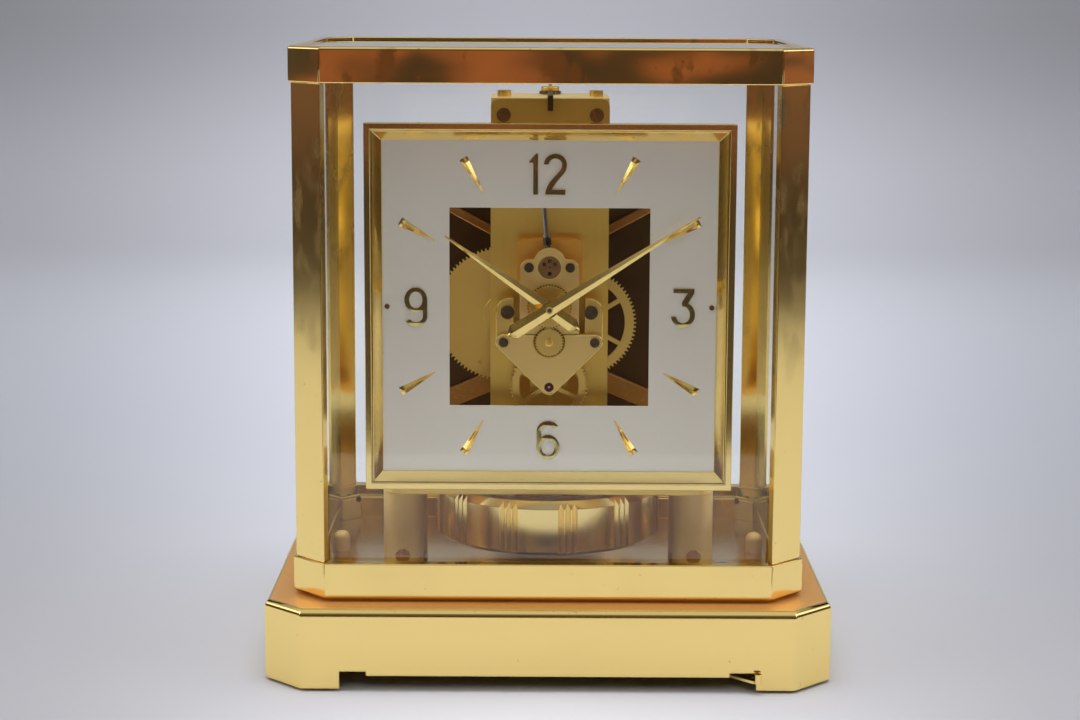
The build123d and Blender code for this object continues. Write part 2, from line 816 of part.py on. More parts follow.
with BuildPart() as bridge_blocks:
    with BuildSketch(upright(main_plate_front)) as blocks:
        for side in (-1, 1):
            middle = ((block_inner + block_outer) / 2, axis_height + (block_over - block_under) / 2)
            with Locations((side * middle[0], middle[1])):
                Rectangle(block_outer - block_inner, block_over + block_under)
        outer_corners = blocks.vertices().group_by(Axis.Y)[-1].sort_by(Axis.X)
        fillet([outer_corners[0], outer_corners[-1]], block_round)
    extrude(blocks.sketch, amount=main_plate_front - bridge_back)

cock_screws = [(side * cock_screw_side, pallet_at[1]) for side in (-1, 1)]

with BuildPart() as escapement_cock:
    with BuildSketch(upright(bridge_back)) as cock:
        with Locations((0, axis_height - cock_under)):
            Rectangle(cock_width, cock_under + cock_over, align=(Align.CENTER, Align.MIN))
        fillet(cock.vertices().group_by(Axis.Y)[-1], cock_round)
        with Locations((0, pallet_at[1] + cock_lobe_rise)):
            Circle(cock_lobe_radius)
        necks = [v for v in cock.vertices() if abs(v.X) < cock_lobe_radius and v.Y > axis_height]
        fillet(necks, cock_neck_round)
    extrude(cock.sketch, amount=bridge_thickness)
    for place in cock_screws:
        round_bar(place, cock_leg_radius, bridge_back, platform_face)
    round_bar(pallet_at, setting_radius + seat_gap, bridge_face, bridge_back, Mode.SUBTRACT)
    round_bar(escape_at, pivot_radius + running_gap, bridge_face, bridge_back, Mode.SUBTRACT)
    round_bar(centre_at, cannon_tube_radius + running_gap, bridge_face, bridge_back, Mode.SUBTRACT)

with BuildPart() as escapement_block:
    with BuildSketch(upright(main_plate_front)) as platform:
        with Locations((0, pallet_at[1] - platform_under)):
            Rectangle(platform_width, platform_under + platform_over, align=(Align.CENTER, Align.MIN))
        fillet(platform.vertices().group_by(Axis.Y)[-1], platform_round)
    extrude(platform.sketch, amount=main_plate_front - platform_face)
    round_bar(pallet_at, pivot_radius + running_gap, platform_face, main_plate_front, Mode.SUBTRACT)

with BuildPart() as bridge_screws:
    for place in kite_ears:
        slotted_head(place, screw_radius, bridge_face, kite_slot_aim)
    for place in cock_screws:
        slotted_head(place, screw_radius, bridge_face, cock_slot_aim)
    for side in (-1, 1):
        big_screw_at = (side * big_screw_side, axis_height + big_screw_rise)
        slotted_head(big_screw_at, big_screw_radius, bridge_back, block_slot_aim)

with BuildPart() as jewel_settings:
    with BuildSketch(upright(bridge_back)) as disc:
        with Locations(pallet_at):
            Circle(setting_radius)
            Circle(pivot_radius + running_gap, mode=Mode.SUBTRACT)
            for aim in (30, 90, 150, 270):
                with Locations(step((0, 0), setting_hole_ring, aim)):
                    Circle(setting_hole_radius, mode=Mode.SUBTRACT)
        with Locations(second_at):
            Circle(jewel_radius)
            Circle(pivot_radius + running_gap, mode=Mode.SUBTRACT)
    extrude(disc.sketch, amount=bridge_thickness)

# Dial, markers and hands
with BuildPart() as dial_frame:
    with BuildSketch(upright(bezel_back)) as square:
        with Locations(centre_at):
            Rectangle(bezel_size, bezel_size)
            Rectangle(dial_size + dial_slip, dial_size + dial_slip, mode=Mode.SUBTRACT)
    extrude(square.sketch, amount=bezel_back - dial_face)
    with BuildSketch(upright(dial_face)) as square:
        with Locations(centre_at):
            Rectangle(bezel_size, bezel_size)
            Rectangle(dial_opening, dial_opening, mode=Mode.SUBTRACT)
    extrude(square.sketch, amount=dial_face - bezel_front)
    slope_front = bezel_front + bezel_groove_depth
    slope_size = bezel_size - 2 * (bezel_rim + bezel_groove)
    with BuildSketch(upright(dial_face - bezel_groove_depth)) as slope_inner:
        with Locations(centre_at):
            Rectangle(dial_opening, dial_opening)
    with BuildSketch(upright(slope_front)) as slope_outer:
        with Locations(centre_at):
            Rectangle(slope_size, slope_size)
    loft([slope_inner.sketch, slope_outer.sketch], ruled=True, mode=Mode.SUBTRACT)
    with BuildSketch(upright(slope_front)) as groove:
        with Locations(centre_at):
            Rectangle(bezel_size - 2 * bezel_rim, bezel_size - 2 * bezel_rim)
    extrude(groove.sketch, amount=bezel_groove_depth, mode=Mode.SUBTRACT)

with BuildPart() as dial_plate:
    dial_back = dial_face + dial_thickness
    with BuildSketch(upright(dial_back)) as sheet:
        with Locations(centre_at):
            Rectangle(dial_size, dial_size)
            Rectangle(dial_aperture, dial_aperture, mode=Mode.SUBTRACT)
    extrude(sheet.sketch, amount=dial_thickness)
    for side in (-1, 1):
        for rise in (-dial_foot_offset, dial_foot_offset):
            foot_at = (side * dial_foot_side, axis_height + rise)
            round_bar(foot_at, dial_foot_radius, dial_back, main_plate_front)

with BuildPart() as hour_markers:
    for hour in (1, 2, 4, 5, 7, 8, 10, 11):
        taper = (marker_width - marker_point) / (marker_outer - marker_inner)
        inner = (marker_inner, marker_point, marker_height / 2)
        ridge_end = marker_outer - marker_end_slope
        ridge = (ridge_end, marker_width - marker_end_slope * taper, marker_height)
        outer = (marker_outer, marker_width, marker_end_height)
        faceted_bar(30 * hour, dial_face, (inner, ridge, outer))

minute_angle = 6 * shown_minutes
hour_angle = 30 * (shown_hours + shown_minutes / 60)
nut_front = minute_hand_back - hand_thickness - hand_nut_height
cannon_front = minute_hand_back - hand_thickness

with BuildPart() as hour_hand:
    stations = hand_stations(hour_hand_length, hour_hand_tail, hour_hand_width)
    faceted_bar(hour_angle, hour_hand_back, stations)
    round_bar(centre_at, hand_hub_radius, hour_hand_back, hour_hand_back + hand_hub_thickness)
    hub_end = hour_hand_back + hand_hub_thickness
    hub_start = hour_hand_back - hand_thickness
    round_bar(centre_at, hour_pipe_radius + seat_gap, hub_start, hub_end, Mode.SUBTRACT)

with BuildPart() as minute_hand:
    stations = hand_stations(minute_hand_length, minute_hand_tail, minute_hand_width)
    faceted_bar(minute_angle, minute_hand_back, stations)
    round_bar(centre_at, hand_hub_radius, minute_hand_back, minute_hand_back + hand_hub_thickness)
    hub_end = minute_hand_back + hand_hub_thickness
    round_bar(centre_at, cannon_tube_radius + seat_gap, cannon_front, hub_end, Mode.SUBTRACT)

with BuildPart() as hand_nut:
    round_bar(centre_at, hand_nut_radius, nut_front, cannon_front)
    round_bar(centre_at, arbor_radius + seat_gap, nut_front, cannon_front, Mode.SUBTRACT)

# Wheels on the hand axis
with BuildPart() as centre_arbor:
    gear(centre_at, centre_teeth, centre_module, centre_phase, centre_gear_front, centre_gear_back)
    round_bar(centre_at, arbor_radius, nut_front, centre_gear_front)

with BuildPart() as cannon_pinion:
    pinion_front = minute_wheel_front - pinion_overhang
    pinion_back = minute_wheel_back + pinion_overhang
    gear(centre_at, cannon_teeth, motion_module, centre_phase, pinion_front, pinion_back)
    round_bar(centre_at, cannon_tube_radius, cannon_front, pinion_front)
    round_bar(centre_at, arbor_radius + seat_gap, cannon_front, pinion_back, Mode.SUBTRACT)

with BuildPart() as hour_wheel:
    gear(centre_at, hour_teeth, hour_module, hour_phase, hour_gear_front, hour_gear_back)
    round_bar(centre_at, hour_pipe_radius, hour_hand_back - hand_thickness, hour_gear_front)
    pipe_bore = cannon_tube_radius + running_gap
    round_bar(centre_at, pipe_bore, hour_hand_back - hand_thickness, hour_gear_back, Mode.SUBTRACT)

with BuildPart() as minute_wheel:
    gear(minute_at, minute_wheel_teeth, motion_module, minute_phase, minute_wheel_front, minute_wheel_back)
    leaf_front = second_wheel_front - pinion_overhang
    leaf_back = second_wheel_back + pinion_overhang
    gear(minute_at, minute_pinion_teeth, second_module, minute_pinion_phase, leaf_front, leaf_back)
    round_bar(minute_at, arbor_radius, hour_gear_front, main_plate_back)

with BuildPart() as setting_wheel:
    gear(minute_at, setting_teeth, hour_module, setting_phase, hour_gear_front, hour_gear_back)
    round_bar(minute_at, setting_boss_radius, hour_gear_front - setting_boss_height, hour_gear_front)
    fillet(setting_wheel.edges().group_by(Axis.Y)[0], setting_boss_round)
    round_bar(minute_at, arbor_radius + seat_gap, hour_gear_front, hour_gear_back, Mode.SUBTRACT)

# Train from the barrel to the escape wheel
with BuildPart() as second_wheel:
    rim_span = (second_wheel_front, second_wheel_back)
    crossed_gear(second_at, second_teeth, second_module, second_phase, *rim_span, second_arm_aim, wheel_rim)
    pinion_front = barrel_front - pinion_overhang
    pinion_back = barrel_teeth_back + pinion_overhang
    gear(second_at, second_pinion_teeth, train_module, second_pinion_phase, pinion_front, pinion_back)
    round_bar(second_at, arbor_radius, bridge_back + running_gap, rear_bridge_back)
    round_bar(second_at, pivot_radius, bridge_face, bridge_back + running_gap)

with BuildPart() as barrel:
    gear(barrel_at, barrel_teeth, train_module, barrel_phase, barrel_front, barrel_teeth_back)
    round_bar(barrel_at, barrel_drum_radius, barrel_teeth_back, barrel_back)
    ring_front = barrel_front - barrel_ring_height
    round_bar(barrel_at, barrel_ring_radius, barrel_front - barrel_ring_height / 2, barrel_front)
    round_bar(barrel_at, barrel_ring_radius - barrel_ring_step, ring_front, barrel_front)
    hole_at = step(barrel_at, barrel_hole_reach, barrel_hole_aim)
    round_bar(hole_at, barrel_hole_radius, barrel_front, barrel_front + wheel_thickness, Mode.SUBTRACT)
    round_bar(barrel_at, barrel_arbor_radius + running_gap, ring_front, barrel_back, Mode.SUBTRACT)

with BuildPart() as barrel_arbor:
    round_bar(barrel_at, barrel_arbor_radius, main_plate_front, rear_bridge_back)

with BuildPart() as third_wheel:
    gear(third_at, third_small_teeth, centre_module, third_small_phase, centre_gear_front, centre_gear_back)
    rim_span = (third_wheel_front, third_wheel_back)
    crossed_gear(third_at, third_teeth, train_module, third_phase, *rim_span, third_arm_aim, third_rim)
    round_bar(third_at, arbor_radius, main_plate_front, rear_bridge_back)

with BuildPart() as escape_wheel:
    pinion_front = third_wheel_front - pinion_overhang
    pinion_back = third_wheel_back + pinion_overhang
    gear(escape_at, escape_pinion_teeth, train_module, escape_phase, pinion_front, pinion_back)
    round_bar(escape_at, arbor_radius, escape_front, pinion_back)
    round_bar(escape_at, pivot_radius, bridge_face, escape_front)
    with BuildSketch(upright(escape_back)) as face:
        with Locations(escape_at):
            hooks = []
            for tooth in range(escape_teeth):
                pitch = 360 / escape_teeth
                hooks.append(step((0, 0), escape_radius, pitch * tooth))
                hooks.append(step((0, 0), escape_radius - escape_tooth_depth, pitch * (tooth + 0.12)))
                hooks.append(step((0, 0), escape_radius - escape_tooth_depth, pitch * (tooth + 0.6)))
            Polygon(*hooks, align=None)
            Circle(escape_radius - 2 * escape_tooth_depth, mode=Mode.SUBTRACT)
            with PolarLocations(escape_radius / 3, 4):
                Rectangle(escape_radius / 1.4, arbor_radius)
            Circle(2 * arbor_radius)
    extrude(face.sketch, amount=escape_thickness)

# Pallet lever: anchor, steel rod and the fork that reaches back to the pendulum's roller
lean_aim = 90 + lever_lean
to_pallet = aim_from(escape_at, pallet_at)
near_stone = step(escape_at, escape_radius + pallet_near_gap, to_pallet + pallet_spread)
far_stone = step(escape_at, escape_radius + pallet_far_gap, to_pallet - pallet_spread)
rod_length = (axis_height + fork_rise - pallet_at[1]) / cos(radians(lever_lean))
rod_end = step(pallet_at, rod_length, lean_aim)
rod_depth = (escape_front + escape_back) / 2
collar_reach = cock_lobe_radius + cock_lobe_rise + lever_collar_gap

with BuildPart() as pallet_lever:
    with BuildSketch(upright(escape_back)) as anchor:
        link(pallet_at, near_stone, lever_arm_width)
        link(pallet_at, far_stone, lever_arm_width)
        link(pallet_at, step(pallet_at, collar_reach + lever_collar_length / 2, lean_aim), lever_arm_width)
        with Locations(near_stone, far_stone):
            Circle(pallet_stone_radius)
    extrude(anchor.sketch, amount=escape_thickness)
    round_bar(pallet_at, pivot_radius, bridge_face, platform_face + 2 * bridge_thickness)
    rod_start = step(pallet_at, cock_lobe_radius, lean_aim)
    rod_plane = Plane(
        origin=(rod_start[0], rod_depth, rod_start[1]),
        x_dir=(sin(radians(lean_aim)), 0, -cos(radians(lean_aim))),
        z_dir=(cos(radians(lean_aim)), 0, sin(radians(lean_aim))),
    )
    with BuildSketch(rod_plane) as rod_section:
        Circle(lever_rod_radius)
    extrude(rod_section.sketch, amount=rod_length - cock_lobe_radius + 2 * lever_rod_radius)
    collar_plane = rod_plane.offset(collar_reach - cock_lobe_radius)
    with BuildSketch(collar_plane) as collar_section:
        Circle(lever_collar_radius)
    extrude(collar_section.sketch, amount=lever_collar_length)
    round_bar(rod_end, fork_radius, rod_depth, fork_reach)

# Suspension
bracket_bottom = column_top - bracket_height

with BuildPart() as suspension_bracket:
    with BuildSketch(Plane.XY.offset(bracket_bottom)) as block:
        with Locations((0, (main_plate_back + bracket_back) / 2)):
            Rectangle(column_width, bracket_back - main_plate_back)
        fillet(block.vertices().group_by(Axis.Y)[-1], column_round)
        Circle(wire_radius + wire_bore_gap, mode=Mode.SUBTRACT)
    extrude(block.sketch, amount=bracket_height)

with BuildPart() as suspension_screws:
    for side in (-1, 1):
        face_at = (side * bracket_screw_side, column_top - bracket_screw_drop)
        slotted_head(face_at, bracket_screw_radius, main_plate_front, bracket_screw_turn * side)
    cap_places = [(side * bracket_screw_side, bracket_cap_front) for side in (-1, 1)]
    round_post(cap_places, bracket_cap_radius, column_top, column_top + bracket_cap_height)
    with BuildSketch(Plane.XY.offset(column_top + bracket_cap_height - screw_slot)) as slots:
        with Locations(*cap_places):
            Rectangle(3 * bracket_cap_radius, screw_slot, rotation=30)
    extrude(slots.sketch, amount=2 * screw_slot, mode=Mode.SUBTRACT)

collar_top = column_top + regulator_thickness + 2 * lever_gap
head_top = collar_top + head_height - regulator_thickness

with BuildPart() as suspension_head:
    round_post([(0, 0)], head_collar_radius, column_top, collar_top)
    round_post([(0, 0)], head_radius, collar_top, head_top)
    chamfer(suspension_head.edges().group_by(Axis.Z)[-1], head_pin_radius / 2)
    round_post([(0, 0)], head_pin_radius, head_top, head_top + head_pin_height)
    round_post([(0, 0)], wire_radius + seat_gap, column_top, collar_top, Mode.SUBTRACT)

with BuildPart() as regulator_lever:
    tab_bottom = column_top + lever_gap
    tab_front = main_plate_front - regulator_front_gap - regulator_thickness
    with BuildSketch(Plane.XY.offset(tab_bottom)) as tab:
        Circle(head_collar_radius + regulator_eye)
        with Locations((0, tab_front)):
            Rectangle(regulator_width, -tab_front, align=(Align.CENTER, Align.MIN))
        Circle(head_collar_radius + running_gap, mode=Mode.SUBTRACT)
    extrude(tab.sketch, amount=regulator_thickness)
    with BuildSketch(Plane.XY.offset(tab_bottom - regulator_drop)) as bend:
        with Locations((0, tab_front)):
            Rectangle(regulator_width, regulator_thickness, align=(Align.CENTER, Align.MIN))
    extrude(bend.sketch, amount=regulator_drop)

rod_top = bracket_bottom - rod_top_gap
wire_bottom = rod_top - 2 * roller_drop

with BuildPart() as suspension_wire:
    round_post([(0, 0)], wire_radius, wire_bottom, collar_top)

# Torsion pendulum
ring_bottom = floor_top + ring_rise
ring_top = ring_bottom + ring_height
hub_top = ring_top - hub_drop
hub_bottom = hub_top - hub_height

with BuildPart() as pendulum_rod:
    round_post([(0, 0)], rod_radius, hub_bottom, rod_top)
    roller_top = axis_height + fork_rise - roller_drop
    round_post([(0, 0)], roller_radius, roller_top - roller_thickness, roller_top)
    round_post([(0, 0)], wire_radius + running_gap, wire_bottom - running_gap, rod_top, Mode.SUBTRACT)

with BuildPart() as pendulum_spider:
    round_post([(0, 0)], hub_radius, hub_bottom, hub_top)
    arm_end = ring_radius - ring_wall
    with BuildSketch(Plane.XY.offset(hub_top - hub_arm_thickness)) as arms:
        with PolarLocations((hub_radius / 2 + arm_end) / 2, hub_arms, start_angle=45):
            Rectangle(arm_end - hub_radius / 2, hub_arm_width)
        Circle(arm_end - seat_gap, mode=Mode.INTERSECT)
    extrude(arms.sketch, amount=hub_arm_thickness)
    round_post([(0, 0)], rod_radius + seat_gap, hub_bottom, hub_top, Mode.SUBTRACT)

with BuildPart() as pendulum_ring:
    round_post([(0, 0)], ring_radius, ring_bottom, ring_top)
    chamfer(pendulum_ring.edges().group_by(Axis.Z)[0], ring_bevel)
    chamfer(pendulum_ring.edges().group_by(Axis.Z)[-1], ring_top_bevel, ring_bevel)
    round_post([(0, 0)], ring_radius - ring_wall, ring_bottom, ring_top, Mode.SUBTRACT)
    flute_step = degrees(flute_width / ring_radius)
    with BuildSketch(Plane.XY.offset(ring_bottom)) as flutes:
        for flute in range(flutes_in_group):
            turn = flute_phase - 90 + flute_step * (flute - (flutes_in_group - 1) / 2)
            with PolarLocations(ring_radius, flute_groups, start_angle=turn):
                Polygon(
                    (flute_depth / 4, -flute_width / 2),
                    (flute_depth / 4, flute_width / 2),
                    (-flute_depth, 0),
                    align=None,
                )
    extrude(flutes.sketch, amount=ring_height, mode=Mode.SUBTRACT)

# Air-pressure drum: housing, lid, bellows and the spider that carries it
lid_back = back_glass_face - drum_glass_gap
drum_back = lid_back - drum_lid_thickness
drum_height = axis_height - drum_drop
drum_at = (0, drum_height)
capsule_radius = drum_radius - drum_wall - capsule_clearance
spider_back = drum_front
spider_front = spider_back - spider_thickness

with BuildPart() as bellows_housing:
    round_bar(drum_at, drum_radius, drum_front, drum_back)
    fillet(bellows_housing.edges().group_by(Axis.Y)[0], drum_wall)
    round_bar(drum_at, drum_radius - drum_wall, drum_front + drum_wall, drum_back, Mode.SUBTRACT)

with BuildPart() as bellows_cover:
    round_bar(drum_at, drum_radius + drum_lid_overhang, drum_back, lid_back)
    fillet(bellows_cover.edges().group_by(Axis.Y)[-1], drum_lid_overhang)

with BuildPart() as bellows_capsule:
    capsule_front = drum_front + drum_wall + capsule_margin
    pleat_depth = (drum_back - capsule_front) / capsule_pleats
    crest = [(0, capsule_front)]
    for pleat in range(capsule_pleats):
        crest.append((capsule_radius - capsule_pleat, capsule_front + pleat_depth * pleat))
        crest.append((capsule_radius, capsule_front + pleat_depth * (pleat + 0.5)))
    crest.append((capsule_radius - capsule_pleat, drum_back))
    crest.append((0, drum_back))
    with BuildSketch(Plane.XY.offset(drum_height)) as profile:
        Polygon(*crest, align=None)
    revolve(profile.sketch, axis=Axis((0, 0, drum_height), (0, 1, 0)))

with BuildPart() as bellows_spider:
    spider_rim = drum_radius - drum_wall / 2
    limbs = (
        (spider_arm_over, spider_arm_rise, spider_arm_width),
        (-spider_leg_under, -spider_leg_fall, spider_leg_width),
    )
    with BuildSketch(upright(spider_back)) as frame:
        with Locations(bridge_middle):
            RectangleRounded(spider_width, bridge_over - bridge_under, rear_bridge_margin)
        for side in (-1, 1):
            for rise, aim, width in limbs:
                start = (side * spider_arm_side, axis_height + rise)
                end = step((0, 0), spider_rim - width / 2, aim)
                link(start, (side * end[0], drum_height + end[1]), width)
    extrude(frame.sketch, amount=spider_thickness)

with BuildPart() as bellows_spacers:
    for side in (-1, 1):
        for height in (bridge_under + rear_bridge_margin, bridge_over - rear_bridge_margin):
            round_bar((side * spacer_side, height), spacer_radius, rear_bridge_back, spider_front)

pieces = {
    "plinth": plinth,
    "floor_plate": floor_plate,
    "lower_frame": lower_frame,
    "corner_posts": corner_posts,
    "top_frame": top_frame,
    "front_glass": front_glass,
    "back_glass": back_glass,
    "left_glass": left_glass,
    "right_glass": right_glass,
    "top_glass": top_glass,
    "case_nuts": case_nuts,
    "levelling_foot_left": levelling_foot_left,
    "levelling_foot_right": levelling_foot_right,
    "rear_foot": rear_foot,
    "lock_lever": lock_lever,
    "lock_pivot": lock_pivot,
    "spirit_level_cup": spirit_level_cup,
    "spirit_level_glass": spirit_level_glass,
    "movement_pillars": movement_pillars,
    "pillar_screws": pillar_screws,
    "movement_base": movement_base,
    "main_plate": main_plate,
    "rear_bridge": rear_bridge,
    "plate_pillars": plate_pillars,
    "front_bridge": front_bridge,
    "bridge_blocks": bridge_blocks,
    "escapement_cock": escapement_cock,
    "escapement_block": escapement_block,
    "bridge_screws": bridge_screws,
    "jewel_settings": jewel_settings,
    "dial_frame": dial_frame,
    "dial_plate": dial_plate,
    "hour_markers": hour_markers,
    "hour_hand": hour_hand,
    "minute_hand": minute_hand,
    "hand_nut": hand_nut,
    "centre_arbor": centre_arbor,
    "cannon_pinion": cannon_pinion,
    "hour_wheel": hour_wheel,
    "minute_wheel": minute_wheel,
    "setting_wheel": setting_wheel,
    "second_wheel": second_wheel,
    "barrel": barrel,
    "barrel_arbor": barrel_arbor,
    "third_wheel": third_wheel,
    "escape_wheel": escape_wheel,
    "pallet_lever": pallet_lever,
    "suspension_bracket": suspension_bracket,
    "suspension_screws": suspension_screws,
    "suspension_head": suspension_head,
    "suspension_wire": suspension_wire,
    "regulator_lever": regulator_lever,
    "pendulum_rod": pendulum_rod,
    "pendulum_spider": pendulum_spider,
    "pendulum_ring": pendulum_ring,
    "bellows_housing": bellows_housing,
    "bellows_cover": bellows_cover,
    "bellows_capsule": bellows_capsule,
    "bellows_spider": bellows_spider,
    "bellows_spacers": bellows_spacers,
}

os.makedirs("parts", exist_ok=True)
for node, piece in pieces.items():
    piece.part.label = node
    export_step(piece.part, f"parts/{node}.step")
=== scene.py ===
"""Finishes a gilt, glass-cased table clock: polished case, silvered dial, open movement, studio."""

import json
import math

import bmesh
import bpy
from bpy.props import FloatProperty, FloatVectorProperty, PointerProperty
from bpy.types import Operator, Panel, PropertyGroup
from mathutils import Matrix, Vector

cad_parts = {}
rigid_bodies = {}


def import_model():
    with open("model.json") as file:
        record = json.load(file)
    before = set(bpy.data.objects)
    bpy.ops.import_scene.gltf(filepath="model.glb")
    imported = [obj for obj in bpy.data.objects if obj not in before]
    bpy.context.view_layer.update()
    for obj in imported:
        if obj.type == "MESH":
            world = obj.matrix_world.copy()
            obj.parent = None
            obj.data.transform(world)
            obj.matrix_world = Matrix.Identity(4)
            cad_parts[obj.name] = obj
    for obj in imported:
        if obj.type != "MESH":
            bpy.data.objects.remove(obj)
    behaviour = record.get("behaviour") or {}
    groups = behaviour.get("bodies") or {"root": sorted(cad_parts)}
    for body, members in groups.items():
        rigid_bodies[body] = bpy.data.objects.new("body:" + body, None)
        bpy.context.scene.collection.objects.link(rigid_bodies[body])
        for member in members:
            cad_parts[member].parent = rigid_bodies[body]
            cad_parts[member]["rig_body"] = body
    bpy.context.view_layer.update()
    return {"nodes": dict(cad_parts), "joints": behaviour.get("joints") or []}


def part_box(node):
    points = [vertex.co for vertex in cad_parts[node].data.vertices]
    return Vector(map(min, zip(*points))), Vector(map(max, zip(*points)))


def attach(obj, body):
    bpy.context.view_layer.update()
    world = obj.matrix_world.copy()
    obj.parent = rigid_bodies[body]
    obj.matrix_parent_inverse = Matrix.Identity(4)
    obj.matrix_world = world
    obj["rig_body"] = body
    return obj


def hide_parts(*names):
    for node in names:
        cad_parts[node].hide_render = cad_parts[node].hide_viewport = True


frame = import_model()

bl_info = {
    "name": "Glass-cased table clock",
    "version": (1, 0, 0),
    "blender": (4, 5, 0),
    "location": "3D View > Sidebar > Clock",
    "description": "Finishes the pieces of a gilt table clock and sets its studio",
    "category": "Object",
}

MM = 0.001
nodes = frame["nodes"]
dial_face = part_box("dial_plate")[0].y
bridge_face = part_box("front_bridge")[0].y
deck_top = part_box("plinth")[1].z
drum_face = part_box("bellows_housing")[0].y
bracket_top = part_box("suspension_bracket")[1].z
cover_low, cover_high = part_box("bellows_cover")
drum_axis = ((cover_low.x + cover_high.x) / 2, (cover_low.z + cover_high.z) / 2)
# Where the axis of each turning body crosses the clock's face, as x and z
wheel_axis = {joint["child"]: (joint["pos_m"][0], joint["pos_m"][2])
              for joint in frame["joints"] if "pos_m" in joint}

# Places of the small pieces, in metres, with x and y to either side
DIAL_SCREW_AT = (0.0591, 0.1352)
CORNER_SCREW_AT = (0.0787, 0.05998, 0.0392)
STONE_CIRCLE = 0.0023
STONE_DEPTH = 0.0011
STONE_ANGLES = (30, 90, 150, 270)
BUBBLE_DEPTH = 0.0011
FORWARD = (0.0, -1.0, 0.0)

# Grain: the axes with a small share are those it runs along; then its cells to a metre
ACROSS = (0.12, 1.0, 1.0)
UPRIGHT = (1.0, 1.0, 0.02)
AROUND = (0.05, 0.05, 1.0)
FINE = 2600.0
COARSE = 1800.0
MICRON = 1e-6

# Heights where a finish gives way to the next, in metres
# Tarnish fades in between these heights, and this rise also paints a darker upper part
BLOOM_AND_SHADE_RISE = (0.085, 0.215)
SETTING_RISE = (0.115, 0.12)
COLLAR_FOOT = (0.150, 0.1505)
COLLAR_TOP = (0.1595, 0.1605)

# Dark spots: painted shade round the wheels, and the collar of the pallet rod
PAINTED_GAP_SHADE = (0.05, 0.03, 0.012)
COLLAR = (0.05, 0.045, 0.042)

# Angles from which an edge counts on faceted and on fluted pieces, in degrees
FACETS = 5.0
FLUTES = 20.0

# Edges of the table that polish sees: where each starts and ends
TABLE_FRONT = (-0.474, -0.466)
TABLE_SIDE = (0.97, 0.99)

# The photograph's viewpoint: its place, its yaw, pitch and roll in degrees, and its lens
VIEWPOINT = (-0.0021873, -0.879, 0.2532885)
VIEW_ANGLES = (-0.078681, 9.376637, 0.270218)
FOCAL_PIXELS = 2311.1627
PHOTO_PIXELS = 1080
SENSOR = 36.0


def length(label, text, default):
    """A size in metres, given here in millimetres."""
    return FloatProperty(name=label, description=text, default=default * MM, min=0.0, unit="LENGTH",
                         precision=5)


def colour(label, text, default):
    """A linear colour."""
    return FloatVectorProperty(name=label, description=text, default=default, size=3, min=0.0,
                               max=1.0, subtype="COLOR")


def number(label, text, default, high=1.0):
    """A plain number from zero up to a limit."""
    return FloatProperty(name=label, description=text, default=default, min=0.0, max=high,
                         subtype="FACTOR" if high == 1.0 else "NONE")


class ClockSizes(PropertyGroup):
    """Sizes of the edges and small pieces that the looks add."""

    case_edge: length("Case edge", "Rounding of the polished edges of the case", 0.45)
    plate_edge: length("Plate edge", "Rounding of plates and bridges", 0.22)
    wheel_edge: length("Wheel edge", "Rounding of wheels and small turned parts", 0.07)
    ring_edge: length("Ring edge", "Rounding of the pendulum ring and its flutes", 0.35)
    frame_edge: length("Dial frame edge", "Rounding of the dial's frame", 0.9)
    hand_edge: length("Hand edge", "Rounding of the hands and markers", 0.14)
    numeral_relief: length("Numeral relief", "How far the numbers stand off the dial", 0.7)
    numeral_edge: length("Numeral edge", "Rounding of the numbers", 0.1)
    dial_screw: length("Dial screw", "Radius of the two screws in the dial", 0.95)
    corner_screw: length("Corner screw", "Radius of the screws inside the lower frame", 1.15)
    drum_screw: length("Drum screw", "Radius of the screws in the cover of the drum", 1.9)
    drum_screw_share: number("Drum screw circle",
                             "Share of the cover's radius where its screws stand", 0.84)
    screw_relief: length("Screw relief", "How far those screw heads stand proud", 0.3)
    stone: length("Stone", "Radius of the red stones in the pallet setting", 0.72)
    bubble: length("Bubble", "Radius of the bubble in the spirit level", 1.5)
    # Radii of the painted shade on the bridges round the setting and hour wheels
    setting_gap_shade: length("Setting wheel oil", "Radius of the old oil round the setting wheel", 5.6)
    hour_gap_shade: length("Hour wheel oil", "Radius of the old oil round the hour wheel", 8.2)


